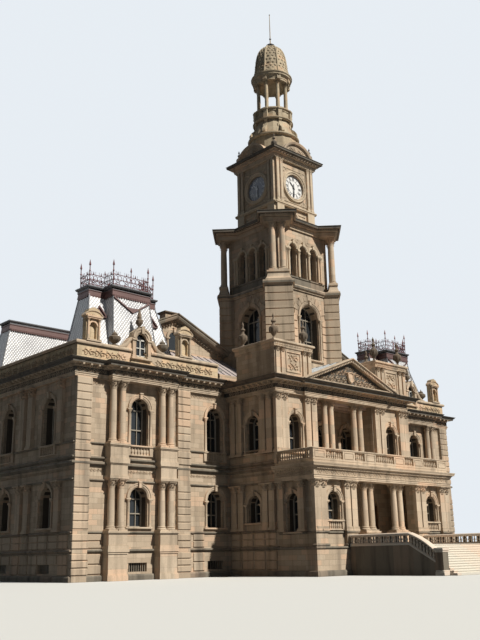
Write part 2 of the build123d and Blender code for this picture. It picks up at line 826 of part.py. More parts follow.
tower_arch = [(0, tower_arch_sill, tower_arch_spring, tower_arch_width)]
tower_face_pair("tower_front_and_back", tower_half, tower_wall, tower_z, tower_arch, True)
tower_face_pair("tower_sides", tower_half, tower_wall, tower_z, tower_arch, False)

with BuildPart() as tower_corner_piers:
    with BuildSketch(Plane.XY.offset(tower_z[0])) as outline:
        tower_piers_outline()
    extrude(outline.sketch, amount=tower_z[1] - tower_z[0])
save(tower_corner_piers, "tower_corner_piers")


def tower_plate(name, z, projection, half):
    """Moulded floor slab of the tower that follows the body and the corner piers."""
    with BuildPart() as plate:
        for low, high, grow in z:
            with BuildSketch(Plane.XY.offset(low)) as outline:
                with Locations((0, tower_y)):
                    Rectangle(2 * (half + projection * grow), 2 * (half + projection * grow))
                tower_piers_outline(projection * grow)
            extrude(outline.sketch, amount=high - low)
    save(plate, name)


tower_plate("tower_string_course", ((tower_stage_top, tower_stage_top + 90, 0.5),
                                    (tower_stage_top + 90, string_top, 1)), string_projection, tower_half)

# Belfry: three arches in each face and coupled columns on the corner piers
belfry_z = (string_top, belfry_top)
belfry_arches = [(offset * belfry_arch_pitch, belfry_sill, belfry_spring, belfry_arch_width)
                 for offset in (-1, 0, 1)]
tower_face_pair("belfry_front_and_back", belfry_half, belfry_wall, belfry_z, belfry_arches, True)
tower_face_pair("belfry_sides", belfry_half, belfry_wall, belfry_z, belfry_arches, False)

# Louvres deep in the belfry arches: one panel in each, grooved into slats
louvre_y = tower_y - belfry_half + louvre_recess
with BuildPart() as one_louvre_face:
    with BuildSketch(front_plane(louvre_y)):
        for offset, sill, spring, width in belfry_arches:
            arched_hole(offset, sill, spring, width)
    extrude(amount=-louvre_depth)
    with BuildSketch(side_plane(-belfry_half)):
        for step in range(int((belfry_spring + belfry_arch_width / 2 - belfry_sill) / louvre_pitch)):
            level = belfry_sill + louvre_pitch * step
            with BuildLine():
                Polyline((louvre_y, level + 20), (louvre_y + 0.7 * louvre_depth, level + louvre_pitch - 15),
                         (louvre_y, level + louvre_pitch - 15), close=True)
            make_face()
    extrude(amount=2 * belfry_half, mode=Mode.SUBTRACT)

with BuildPart() as belfry_louvres:
    for turn in (0, 90, 180, 270):
        add(one_louvre_face.part.rotate(Axis((0, tower_y, 0), (0, 0, 1)), turn))
save(belfry_louvres, "belfry_louvres")

with BuildPart() as belfry_columns:
    for turn in (45, 135, 225, 315):
        along = (cos(radians(turn)), sin(radians(turn)))
        reach = tower_pier_reach - 1.2 * belfry_column_radius
        places = [
            (reach * along[0] + side * belfry_column_gap * along[1],
             tower_y + reach * along[1] - side * belfry_column_gap * along[0])
            for side in (-1, 1)
        ]
        columns(places, belfry_pedestal_top, belfry_top, belfry_column_radius)
        with BuildSketch(Plane.XY.offset(string_top)) as pedestal:
            with Locations(Location((reach * along[0], tower_y + reach * along[1], 0), turn)):
                Rectangle(3.2 * belfry_column_radius, tower_pier_width - 100)
        extrude(pedestal.sketch, amount=belfry_pedestal_top - string_top)
save(belfry_columns, "belfry_columns")

tower_plate("belfry_entablature", ((belfry_top, belfry_top + 200, 0),
                                   (belfry_top + 200, belfry_top + 320, 0.5),
                                   (belfry_top + 320, belfry_cornice_top, 1)),
            belfry_cornice_projection, belfry_half + 60)

# Clock stage: walls with round dials, paired corner pilasters, cornice and curved pediments
faces = (("front", 0, -1), ("left", -1, 0), ("right", 1, 0), ("back", 0, 1))
clock_z = (belfry_cornice_top, clock_order_top)


def face_plane(x, y, distance):
    """Plane of one tower face at a distance from the axis: sketch x runs to the onlooker's right."""
    return Plane(origin=(x * distance, tower_y + y * distance, dial_z), x_dir=(-y, x, 0), z_dir=(x, y, 0))


for name, front in (("clock_front_and_back", True), ("clock_sides", False)):
    with BuildPart() as clock_walls:
        for face, x, y in faces:
            if (x == 0) != front:
                continue
            half = clock_half if front else clock_half - clock_wall
            with BuildSketch(face_plane(x, y, clock_half)) as wall:
                with Locations((0, (clock_z[0] + clock_z[1]) / 2 - dial_z)):
                    Rectangle(2 * half, clock_z[1] - clock_z[0])
                RegularPolygon(dial_radius + dial_clearance, dial_sides, mode=Mode.SUBTRACT)
            extrude(wall.sketch, amount=-clock_wall)
            with BuildSketch(face_plane(x, y, clock_half)) as ring_outline:
                RegularPolygon(dial_ring_radius, dial_sides)
                RegularPolygon(dial_radius + dial_clearance, dial_sides, mode=Mode.SUBTRACT)
            extrude(ring_outline.sketch, amount=dial_ring_depth)
            places = [
                (x * (clock_half + clock_pilaster_depth / 2) - y * side * along,
                 tower_y + y * (clock_half + clock_pilaster_depth / 2) + x * side * along)
                for along in clock_pilaster_x for side in (-1, 1)
            ]
            size = (clock_pilaster_width, clock_pilaster_depth)
            squares(places, clock_base_top, clock_order_top - clock_base_top,
                    size[0] if front else size[1], size[1] if front else size[0])
    save(clock_walls, name)

with BuildPart() as clock_dials:
    for face, x, y in faces:
        front_of_dial = clock_half - dial_reveal
        with BuildSketch(face_plane(x, y, front_of_dial)) as disc:
            RegularPolygon(dial_radius, dial_sides)
        extrude(disc.sketch, amount=-dial_thickness)
        with BuildSketch(face_plane(x, y, front_of_dial)) as arbor:
            RegularPolygon(arbor_radius, arbor_sides)
        extrude(arbor.sketch, amount=2 * (hand_gap + hand_thickness) + hand_gap)
save(clock_dials, "clock_dials")

for face, x, y in faces:
    for hand, length, angle, layer in (
        ("hour", hour_hand_length, hour_angle, 0),
        ("minute", minute_hand_length, minute_angle, 1),
    ):
        seat = clock_half - dial_reveal + hand_gap + layer * (hand_thickness + hand_gap)
        with BuildPart() as clock_hand:
            with BuildSketch(face_plane(x, y, seat) * Location((0, 0, 0), (0, 0, -angle))) as outline:
                with BuildLine():
                    Polyline(
                        (-0.3 * hand_hub_radius, -0.35 * length), (0.3 * hand_hub_radius, -0.35 * length),
                        (0.2 * hand_hub_radius, 0), (0.55 * hand_hub_radius, 0.7 * length), (0, length),
                        (-0.55 * hand_hub_radius, 0.7 * length), (-0.2 * hand_hub_radius, 0), close=True,
                    )
                make_face()
                RegularPolygon(hand_hub_radius, 8)
                RegularPolygon(arbor_radius + arbor_clearance, arbor_sides, major_radius=False,
                               mode=Mode.SUBTRACT)
            extrude(outline.sketch, amount=hand_thickness)
        save(clock_hand, f"{face}_{hand}_hand")

with BuildPart() as clock_cornice:
    low, high = clock_order_top, clock_cornice_top
    reach = clock_half + clock_pilaster_depth
    for z, grow, flare in (((low, low + 150), 30, 0), ((low + 150, low + 290), 60, 180),
                           ((low + 290, high), clock_cornice_projection, 0)):
        edge = reach + grow
        flared((-edge, edge), (tower_y - edge, tower_y + edge), z, flare)
    span = clock_pediment_half
    radius = (span ** 2 + clock_pediment_rise ** 2) / (2 * clock_pediment_rise)
    sweep_angle = degrees(atan(span / (radius - clock_pediment_rise)))
    crown = clock_cornice_top - dial_z
    arc = [
        (radius * sin(radians(sweep_angle * step / 5)),
         crown + clock_pediment_rise - radius + radius * cos(radians(sweep_angle * step / 5)))
        for step in range(-5, 6)
    ]
    for face, x, y in faces:
        with BuildSketch(face_plane(x, y, clock_half + 280)) as gable:
            with BuildLine():
                Polyline(*arc, close=True)
            make_face()
        extrude(gable.sketch, amount=-clock_pediment_depth)
save(clock_cornice, "clock_cornice")

# Lantern: pedestal, scroll stage, drum, open colonnade, ribbed dome and flagpole
axis_spot = [(0, tower_y)]
with BuildPart() as lantern_base:
    edge = lantern_base_radius
    for low, high, start, end in (
        (clock_cornice_top, scroll_base_z - 100, edge, edge),
        (scroll_base_z - 100, scroll_base_z, edge + 80, edge + 80),
        (scroll_base_z, drum_base_z, scroll_radius, drum_radius - 60),
        (drum_base_z, colonnade_base_z - 100, drum_radius, drum_radius),
        (colonnade_base_z - 100, colonnade_base_z, drum_radius + 40, drum_radius + 40),
    ):
        rounds(axis_spot, low, high - low, start, end, lantern_sides)
save(lantern_base, "lantern_base")

with BuildPart() as lantern_columns:
    places = [
        (lantern_column_circle * cos(radians(22.5 + 45 * step)),
         tower_y + lantern_column_circle * sin(radians(22.5 + 45 * step)))
        for step in range(8)
    ]
    columns(places, colonnade_base_z, colonnade_top_z, lantern_column_radius, 8)
save(lantern_columns, "lantern_columns")

with BuildPart() as lantern_cornice:
    for low, high, start, end in (
        (colonnade_top_z, colonnade_top_z + 200, dome_radius + 20, dome_radius + 40),
        (colonnade_top_z + 200, lantern_cornice_top, lantern_cornice_radius - 60, lantern_cornice_radius),
        (lantern_cornice_top, dome_base_z, dome_radius + 30, dome_radius + 10),
    ):
        rounds(axis_spot, low, high - low, start, end, lantern_sides)
save(lantern_cornice, "lantern_cornice")

with BuildPart() as dome:
    levels = 6
    rise = dome_top_z - dome_base_z
    neck = 0.28
    outline_points = [
        (dome_radius * (neck + (1 - neck) * cos(radians(90 * step / levels)) ** 0.9),
         dome_base_z + rise * sin(radians(90 * step / levels)))
        for step in range(levels + 1)
    ]
    for (start, low), (end, high) in zip(outline_points, outline_points[1:]):
        rounds(axis_spot, low, high - low, start, end, lantern_sides)
save(dome, "dome")

with BuildPart() as finial:
    for low, high, start, end in ((0, 0.3, 0.9, 0.6), (0.3, 0.6, 0.6, 1.0), (0.6, 0.85, 1.0, 0.7),
                                  (0.85, 1, 0.7, 0.3)):
        rise = finial_top_z - dome_top_z
        rounds(axis_spot, dome_top_z + low * rise, (high - low) * rise, start * 0.24 * dome_radius,
               end * 0.24 * dome_radius, 12)
    rounds(axis_spot, finial_top_z, pole_top_z - finial_top_z, pole_radius, 0.5 * pole_radius, 8)
save(finial, "finial_and_flagpole")

# Roofs of the wings: mansards over the pavilions, gabled roofs over the links with low slopes before them
wing_middle_y = wing_wall_y + wing_depth / 2


def both_pavilions(piece):
    """Set a piece of the front right pavilion there and at the front left one."""
    add(piece)
    add(piece.moved(Location((-2 * pavilion_x, 0, 0))))


def four_corners(piece):
    """Set a piece of the front right pavilion there and, moved or turned about, at the other three."""
    both_pavilions(piece)
    turned = piece.rotate(Axis((0, wing_middle_y, 0), (0, 0, 1)), 180)
    add(turned)
    add(turned.moved(Location((2 * pavilion_x, 0, 0))))


def frustum(low_x, low_y, high_x, high_y, z, mode=Mode.ADD):
    """Hipped solid between a lower and an upper rectangle."""
    with Locations((low_x[0], low_y[1], z[0])):
        Wedge(low_x[1] - low_x[0], z[1] - z[0], low_y[1] - low_y[0],
              high_x[0] - low_x[0], low_y[1] - high_y[1], high_x[1] - low_x[0], low_y[1] - high_y[0],
              rotation=(90, 0, 0), align=(Align.MIN, Align.MIN, Align.MIN), mode=mode)


def mansard(inset, mode):
    """Outer form of one mansard with its projecting middle bay, or its hollow when set in."""
    z = (wing_cornice_top, mansard_top - inset)
    frustum((pavilion_x - mansard_half_width + inset, pavilion_x + mansard_half_width - inset),
            (mansard_front_y + inset, mansard_back_y - inset),
            (pavilion_x - mansard_top_half + inset, pavilion_x + mansard_top_half - inset),
            (mansard_top_front_y + inset, mansard_top_back_y - inset), z, mode)
    frustum((pavilion_x - mansard_bay_half + inset, pavilion_x + mansard_bay_half - inset),
            (mansard_bay_front_y + inset, mansard_back_y - inset),
            (pavilion_x - mansard_bay_top_half + inset, pavilion_x + mansard_bay_top_half - inset),
            (mansard_bay_top_y + inset, mansard_top_back_y - inset), z, mode)


with BuildPart() as one_mansard:
    mansard(0, Mode.ADD)
    mansard(roof_thickness, Mode.SUBTRACT)
    base_x = (pavilion_x - mansard_base_half, pavilion_x + mansard_base_half)
    base_y = (wing_inside_front, mansard_back_y)
    block(base_x, base_y, (tower_z[0], wing_cornice_top))
    block((base_x[0] + roof_thickness, base_x[1] - roof_thickness),
          (base_y[0] + roof_thickness, base_y[1] - roof_thickness),
          (tower_z[0], wing_cornice_top), mode=Mode.SUBTRACT)
    edge = curb_overhang
    block((pavilion_x - mansard_top_half - edge, pavilion_x + mansard_top_half + edge),
          (mansard_top_front_y - edge, mansard_top_back_y + edge), (mansard_top, mansard_top + curb_height))
    block((pavilion_x - mansard_bay_top_half - edge, pavilion_x + mansard_bay_top_half + edge),
          (mansard_bay_top_y - edge, mansard_top_back_y), (mansard_top, mansard_top + curb_height))

with BuildPart() as mansard_roofs:
    four_corners(one_mansard.part)
save(mansard_roofs, "mansard_roofs")

# Iron cresting on a curb: a front and a back run of posts with a rail
with BuildPart() as one_cresting:
    level = mansard_top + curb_height
    for x_half, y in ((mansard_bay_top_half, mansard_bay_top_y), (mansard_top_half, mansard_top_back_y)):
        squares([(pavilion_x + step * x_half, y) for step in (-1, 0, 1)], level, crest_height, 24, 24)
        block((pavilion_x - x_half, pavilion_x + x_half), (y - 12, y + 12),
              (level + 0.5 * crest_height, level + 0.5 * crest_height + 24))

with BuildPart() as roof_cresting:
    both_pavilions(one_cresting.part)
save(roof_cresting, "roof_cresting")

# A stone dormer in the middle of a parapet, with two small pedimented aedicules beside it
with BuildPart() as one_dormer:
    y = (wing_wall_y - 25, mansard_bay_front_y)
    block((pavilion_x - dormer_half_width, pavilion_x + dormer_half_width), y,
          (wing_cornice_top, dormer_spring))
    with BuildSketch(front_plane(y[0])):
        with Locations((pavilion_x, dormer_spring)):
            RegularPolygon(dormer_half_width, arch_sides)
    extrude(amount=-(y[1] - y[0]))
    with BuildSketch(front_plane(y[0])):
        arched_hole(pavilion_x, wing_cornice_top + 500, dormer_spring, 1.1 * dormer_half_width)
    extrude(amount=-(y[1] - y[0]) / 2, mode=Mode.SUBTRACT)
    head = dormer_spring + dormer_half_width * cos(radians(180 / arch_sides))
    urns([(pavilion_x, sum(y) / 2)], head - 5, 900, 110)

with BuildPart() as aedicules:
    y = (wing_wall_y, wing_wall_y + parapet_thickness)
    for x in (pavilion_x - aedicule_offset, pavilion_x + aedicule_offset):
        edges = (x - aedicule_half_width, x + aedicule_half_width)
        block(edges, y, (parapet_top, aedicule_top - 250))
        block((edges[0] - 50, edges[1] + 50), (y[0] - 50, y[1]), (aedicule_top - 250, aedicule_top - 150))
        with BuildSketch(front_plane(y[0] - 50)) as head:
            with Locations((x, aedicule_top - 150)):
                RegularPolygon(aedicule_half_width, 8)
                with Locations((0, -aedicule_half_width)):
                    Rectangle(2 * aedicule_half_width, 2 * aedicule_half_width, mode=Mode.SUBTRACT)
        extrude(head.sketch, amount=-(y[1] - y[0] + 50))
        with BuildSketch(front_plane(y[0])) as niche:
            arched_hole(x, parapet_top + 150, aedicule_top - 600, aedicule_half_width)
        extrude(niche.sketch, amount=-parapet_thickness / 2, mode=Mode.SUBTRACT)

with BuildPart() as dormers:
    four_corners(one_dormer.part)
    both_pavilions(aedicules.part)
save(dormers, "dormers")

# Urns on the attic blocks, on the corners of the clock cornice and on the parapets
with BuildPart() as roof_urns:
    urns(both_sides((main_half_width - attic_urn_inset, attic_urn_inset),
                    (attic_inner_x + attic_urn_inset, attic_urn_inset),
                    (main_half_width - attic_urn_inset, attic_depth - attic_urn_inset)),
         attic_top, urn_height, urn_radius)
    corner = clock_half + clock_pilaster_depth - clock_urn_radius
    urns([(side * corner, tower_y + end * corner) for side in (-1, 1) for end in (-1, 1)],
         clock_cornice_top, clock_urn_height, clock_urn_radius)
    middle = wing_wall_y + parapet_thickness / 2
    urns(both_sides(*[(pavilion_x + side * parapet_urn_offset, middle) for side in (-1, 1)]),
         parapet_top, parapet_urn_height, parapet_urn_radius)
save(roof_urns, "roof_urns")


def link_outline(drop):
    """Gabled outline of a link roof; drop sets it in by that much for the inner face."""
    half = gable_half_width - drop
    Polyline((gable_x - half, tower_z[0]), (gable_x + half, tower_z[0]), (gable_x + half, gable_eaves),
             (gable_x, gable_eaves + gable_rise * half / gable_half_width), (gable_x - half, gable_eaves),
             close=True)


gable_length = 2 * (wing_middle_y - gable_y)
with BuildPart() as one_link_roof:
    with BuildSketch(front_plane(gable_y)):
        with BuildLine():
            link_outline(0)
        make_face()
    extrude(amount=-gable_length)
    with BuildSketch(front_plane(gable_y + 2 * roof_thickness)):
        with BuildLine():
            link_outline(2 * roof_thickness)
        make_face()
    extrude(amount=-(gable_length - 4 * roof_thickness), mode=Mode.SUBTRACT)
    with BuildSketch(side_plane(lean_to_x[0])) as slope:
        with BuildLine():
            Polyline((lean_to_y, tower_z[0]), (lean_to_y, lean_to_eaves), (gable_y, lean_to_top),
                     (gable_y, lean_to_top - roof_thickness),
                     (lean_to_y + roof_thickness, lean_to_eaves - roof_thickness),
                     (lean_to_y + roof_thickness, tower_z[0]), close=True)
        make_face()
    extrude(slope.sketch, amount=lean_to_x[1] - lean_to_x[0])

with BuildPart() as link_roofs:
    add(one_link_roof.part)
    add(mirror(one_link_roof.part, about=Plane.YZ, mode=Mode.PRIVATE))
    spot = (gable_x + chimney_offset, gable_y + chimney_setback)
    places = both_sides(spot, (spot[0], 2 * wing_middle_y - spot[1]))
    ridge = gable_eaves + gable_rise
    squares(places, ridge - chimney_foot, chimney_foot + chimney_height, *chimney_size)
    squares(places, ridge + chimney_height, chimney_cap, chimney_size[0] + 120, chimney_size[1] + 120)
save(link_roofs, "link_roofs")

# Glass: one sheet closes the windows of each wall and storey from inside
window_rows = {
    "lower_windows": ((basement_window_sill, basement_window_sill + basement_window_height),
                      (ground_window_sill, ground_window_spring + wing_window_width / 2)),
    "upper_windows": ((window_sill, window_spring + wing_window_width / 2),),
}
link_edge = link_window_x - wing_window_width / 2 - glass_lap
pavilion_edge = pavilion_x + wing_window_width / 2 + glass_lap
side_edges = (side_window_y[0] - wing_window_width / 2 - glass_lap,
              side_window_y[-1] + wing_window_width / 2 + glass_lap)
bay_half = end_window_width / 2 + glass_lap
for name, rows in window_rows.items():
    with BuildPart() as glass:
        for sill, head in rows:
            z = (sill - glass_lap, head + glass_lap)
            for side in (-1, 1):
                block(sorted((side * link_edge, side * pavilion_edge)),
                      (wing_inside_front, wing_inside_front + glass_thickness), z)
                block(sorted((side * wing_inside_x, side * (wing_inside_x - glass_thickness))), side_edges, z)
            block((-pavilion_edge, pavilion_edge), (wing_inside_back - glass_thickness, wing_inside_back), z)
        if name == "lower_windows":
            z = (porch_window_sill - glass_lap, porch_window_spring + bay_half)
            front_faces = (main_inside_y, porch_inside_y)
            side_z = (ground_order_base, porch_side_arch_spring + porch_side_arch_width / 2 + glass_lap)
            porch_edge = (porch_side_y - porch_side_arch_width / 2 - glass_lap,
                          porch_side_y + porch_side_arch_width / 2 + glass_lap)
            for side in (-1, 1):
                block(sorted((side * porch_inside_x, side * (porch_inside_x - glass_thickness))),
                      porch_edge, side_z)
        else:
            z = (end_window_sill - glass_lap, end_window_spring + bay_half)
            front_faces = (main_inside_y,)
            door_edge = side_door_x + loggia_door_width / 2 + glass_lap
            block((-door_edge, door_edge), (loggia_wall_back, loggia_wall_back + glass_thickness),
                  (upper_floor_top, loggia_door_spring + loggia_door_width / 2 + glass_lap))
        for side in (-1, 1):
            for face_y in front_faces:
                block(sorted((side * (end_window_x - bay_half), side * (end_window_x + bay_half))),
                      (face_y, face_y + glass_thickness), z)
            block(sorted((side * main_inside_x, side * (main_inside_x - glass_thickness))),
                  (side_bay_y - bay_half, side_bay_y + bay_half), z)
    save(glass, name)

with BuildPart() as tower_windows:
    half = tower_arch_width / 2 + glass_lap
    z = (tower_arch_sill - glass_lap, tower_arch_spring + half)
    for side in (-1, 1):
        y = sorted((tower_y + side * tower_inner, tower_y + side * (tower_inner - glass_thickness)))
        block((-half, half), y, z)
        x = sorted((side * tower_inner, side * (tower_inner - glass_thickness)))
        block(x, (tower_y - half, tower_y + half), z)
save(tower_windows, "tower_windows")
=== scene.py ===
"""Looks of a sandstone town hall with a clock tower, a scale model at half size."""
import math

import bmesh
import bpy
from mathutils import Matrix, Vector


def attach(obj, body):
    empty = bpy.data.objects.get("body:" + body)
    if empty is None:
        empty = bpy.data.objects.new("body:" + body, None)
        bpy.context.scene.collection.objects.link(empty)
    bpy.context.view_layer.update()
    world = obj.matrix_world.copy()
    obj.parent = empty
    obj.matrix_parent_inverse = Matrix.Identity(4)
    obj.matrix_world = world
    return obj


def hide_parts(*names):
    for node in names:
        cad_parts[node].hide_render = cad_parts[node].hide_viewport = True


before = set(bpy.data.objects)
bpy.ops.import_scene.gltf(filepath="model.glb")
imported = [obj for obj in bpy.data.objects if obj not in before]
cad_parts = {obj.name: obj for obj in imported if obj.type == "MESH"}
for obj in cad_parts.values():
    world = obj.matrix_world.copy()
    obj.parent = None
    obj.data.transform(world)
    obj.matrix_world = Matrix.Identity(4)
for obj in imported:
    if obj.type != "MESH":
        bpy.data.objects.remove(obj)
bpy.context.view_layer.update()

# The viewpoint: at eye level, far to the left of the front stairs and turned up towards the clock. The
# picture is upright, so the lens counts along its height.
eye = (-28.576, -23.978, 0.825)
camera = bpy.data.cameras.new("camera")
camera.lens = 46.73
camera.sensor_width = 36
camera.clip_end = 500
viewer = bpy.data.objects.new("viewer", camera)
heading, tilt, roll = (math.radians(angle) for angle in (-42.735, 90 + 15.819, -1.117))
viewer.matrix_world = (Matrix.Translation(eye) @ Matrix.Rotation(heading, 4, "Z")
                       @ Matrix.Rotation(tilt, 4, "X") @ Matrix.Rotation(roll, 4, "Z"))
bpy.context.scene.collection.objects.link(viewer)
bpy.context.scene.camera = viewer
bpy.context.scene.view_settings.view_transform = "Standard"

# Daylight in the studio: one high lamp in front and a little to the right, so that the front is lit and
# the left faces lie in shade, and a dim even world around it.
sun = bpy.data.lights.new("sun", "SUN")
sun.energy = 5.3
sun.angle = math.radians(1.5)
sun.color = (1.0, 0.96, 0.88)
lamp = bpy.data.objects.new("lamp", sun)
lamp.rotation_euler = Vector((0.22, -1.0, 1.0)).to_track_quat("Z", "Y").to_euler()
bpy.context.scene.collection.objects.link(lamp)


def add_node(tree, kind, inputs=(), **settings):
    """New shader node: inputs maps socket names to values or to the sockets that feed them."""
    made = tree.nodes.new("ShaderNode" + kind)
    for name, value in settings.items():
        setattr(made, name, value)
    for name, value in dict(inputs).items():
        if isinstance(value, bpy.types.NodeSocket):
            tree.links.new(value, made.inputs[name])
        else:
            made.inputs[name].default_value = value
    return made


world = bpy.data.worlds.new("studio")
world.use_nodes = True
world.node_tree.nodes.clear()
rays = add_node(world.node_tree, "LightPath")
seen = add_node(world.node_tree, "Math", {0: rays.outputs["Is Camera Ray"], 1: rays.outputs["Is Glossy Ray"]},
                operation="MAXIMUM")
seen = add_node(world.node_tree, "Math", {0: seen.outputs[0], 1: rays.outputs["Is Transmission Ray"]},
                operation="MAXIMUM")
even_light = add_node(world.node_tree, "Background", {"Color": (0.58, 0.78, 1.0, 1), "Strength": 0.075})
backdrop = add_node(world.node_tree, "Background", {"Color": (0.80, 0.85, 0.90, 1), "Strength": 1.0})
either = add_node(world.node_tree, "MixShader", {0: seen.outputs[0], 1: even_light.outputs[0],
                                                 2: backdrop.outputs[0]})
add_node(world.node_tree, "OutputWorld", {0: either.outputs[0]})
bpy.context.scene.world = world


# The studio floor: a wide sheet under the model, which takes its shadow. It looks pale and throws
# hardly any light back at the walls.
def at(x, y, z):
    """Placing matrix that moves a shape to this place."""
    return Matrix.Translation((x, y, z))


def new_material(name):
    """New material with its node tree and its surface shader."""
    material = bpy.data.materials.new(name)
    material.use_nodes = True
    return material, material.node_tree, material.node_tree.nodes["Principled BSDF"]


floor_mesh = bpy.data.meshes.new("studio_floor")
sheet = bmesh.new()
bmesh.ops.create_grid(sheet, x_segments=1, y_segments=1, size=90, matrix=at(0, 0, -0.002))
sheet.to_mesh(floor_mesh)
sheet.free()
studio_floor = bpy.data.objects.new("studio_floor", floor_mesh)
bpy.context.scene.collection.objects.link(studio_floor)
floor_paint, tree, shader = new_material("floor_paint")
seen = add_node(tree, "LightPath").outputs["Is Camera Ray"]
tone = add_node(tree, "Mix", {0: seen, 6: (0.10, 0.10, 0.10, 1), 7: (0.62, 0.62, 0.60, 1)}, data_type="RGBA")
tree.links.new(tone.outputs[2], shader.inputs["Base Color"])
shader.inputs["Roughness"].default_value = 0.9
floor_mesh.materials.append(floor_paint)


# The walls: yellow sandstone laid in courses of squared blocks with thin dark joints. Every block
# has its own tone, rain has streaked the faces with soot, and the dressed stone of columns and
# mouldings is the same rock with hardly any joints.
def new_group(name, numbers, outputs):
    """Empty shader group with number inputs and the given outputs, and its two end nodes."""
    group = bpy.data.node_groups.new(name, "ShaderNodeTree")
    for label, value in numbers.items():
        socket = group.interface.new_socket(label, in_out="INPUT", socket_type="NodeSocketFloat")
        socket.default_value = value
    for label in outputs:
        group.interface.new_socket(label, in_out="OUTPUT", socket_type="NodeSocketFloat")
    return group, group.nodes.new("NodeGroupInput"), group.nodes.new("NodeGroupOutput")


def make_courses():
    """Group that lays blocks on upright faces: mask of the joints and one random tone for each block."""
    group, given, result = new_group("masonry courses", {"Course": 0.2, "Length": 0.45, "Joint": 0.006},
                                     ("Joints", "Tone"))
    place = add_node(group, "SeparateXYZ", {0: add_node(group, "TexCoord").outputs["Object"]})
    facing = add_node(group, "SeparateXYZ", {0: add_node(group, "NewGeometry").outputs["True Normal"]})
    across = add_node(group, "Math", {0: facing.outputs["X"]}, operation="ABSOLUTE")
    sideways = add_node(group, "Math", {0: across.outputs[0], 1: 0.7}, operation="GREATER_THAN")
    along = add_node(group, "Mix", {0: sideways.outputs[0], 2: place.outputs["X"], 3: place.outputs["Y"]})
    spot = add_node(group, "CombineXYZ", {"X": along.outputs[0], "Y": place.outputs["Z"]})
    blocks = add_node(group, "TexBrick", {
        "Vector": spot.outputs[0], "Color1": (0, 0, 0, 1), "Color2": (1, 1, 1, 1),
        "Mortar": (0.5, 0.5, 0.5, 1), "Scale": 1.0, "Bias": 0.0,
        "Mortar Size": given.outputs["Joint"], "Mortar Smooth": 0.3,
        "Brick Width": given.outputs["Length"], "Row Height": given.outputs["Course"]})
    tone = add_node(group, "SeparateColor", {0: blocks.outputs["Color"]})
    group.links.new(blocks.outputs["Fac"], result.inputs["Joints"])
    group.links.new(tone.outputs[0], result.inputs["Tone"])
    return group


def make_weather():
    """Group of the weather's marks: upright streaks, broad stains and the grain of the surface."""
    group, given, result = new_group("weather", {"Size": 1.0}, ("Streaks", "Stains", "Grain"))
    place = add_node(group, "TexCoord").outputs["Object"]
    tall = add_node(group, "Mapping", {"Vector": place, "Scale": (3.2, 3.2, 0.35)})
    for label, vector, scale, detail, low, high in (
        ("Streaks", tall.outputs[0], 1.0, 6.0, 0.48, 0.72),
        ("Stains", place, 0.55, 5.0, 0.42, 0.66),
        ("Grain", place, 26.0, 4.0, 0.30, 0.70),
    ):
        size = add_node(group, "Math", {0: given.outputs["Size"], 1: scale}, operation="MULTIPLY")
        cloud = add_node(group, "TexNoise", {"Vector": vector, "Scale": size.outputs[0], "Detail": detail})
        spread = add_node(group, "MapRange",
                          {"Value": cloud.outputs["Fac"], "From Min": low, "From Max": high})
        group.links.new(spread.outputs[0], result.inputs[label])
    return group


courses_group = make_courses()
weather_group = make_weather()


def group_node(tree, group, **values):
    """A placed copy of a shader group with its own input values."""
    return add_node(tree, "Group", values, node_tree=group)


def blend_color(tree, amount, first, second):
    """Colour that goes from first to second as amount goes from 0 to 1."""
    made = add_node(tree, "Mix", {0: amount, 6: first, 7: second}, data_type="RGBA")
    return made.outputs[2]


def scaled(tree, value, factor, shift=0.0):
    """Value times factor plus shift."""
    return add_node(tree, "Math", {0: value, 1: factor, 2: shift}, operation="MULTIPLY_ADD").outputs[0]


def finish_look(tree, shader, color, roughness, height, distance, strength, metallic=0.0):
    """Give a surface its colour, its gloss and the fine relief of its skin."""
    tree.links.new(color, shader.inputs["Base Color"])
    shader.inputs["Roughness"].default_value = roughness
    shader.inputs["Metallic"].default_value = metallic
    bump = add_node(tree, "Bump", {"Height": height, "Distance": distance, "Strength": strength})
    tree.links.new(bump.outputs[0], shader.inputs["Normal"])


def stone(name, light, dark, soot, course=0.2, length=0.45, joint=0.006, streaks=0.5, stains=0.35,
          relief=0.6):
    """Weathered stone: two tones of block, dark joints, soot in streaks and stains, a grainy skin."""
    material, tree, shader = new_material(name)
    laid = group_node(tree, courses_group, Course=course, Length=length, Joint=joint)
    worn = group_node(tree, weather_group, Size=1.0)
    color = blend_color(tree, laid.outputs["Tone"], (*light, 1), (*dark, 1))
    rosy = add_node(tree, "MapRange", {"Value": laid.outputs["Tone"], "From Min": 0.30, "From Max": 0.18})
    color = blend_color(tree, scaled(tree, rosy.outputs[0], 0.6), color,
                        (light[0], 0.80 * light[1], 0.70 * light[2], 1))
    color = blend_color(tree, scaled(tree, worn.outputs["Stains"], stains), color, (*dark, 1))
    color = blend_color(tree, scaled(tree, worn.outputs["Streaks"], streaks), color, (*soot, 1))
    color = blend_color(tree, scaled(tree, worn.outputs["Grain"], 0.18), color, (*soot, 1))
    color = blend_color(tree, scaled(tree, laid.outputs["Joints"], 0.4), color, (*soot, 1))
    shader.inputs["Specular IOR Level"].default_value = 0.3
    height = scaled(tree, laid.outputs["Joints"], -1.0, scaled(tree, worn.outputs["Grain"], 0.25))
    finish_look(tree, shader, color, 0.85, height, 0.006, relief)
    return material


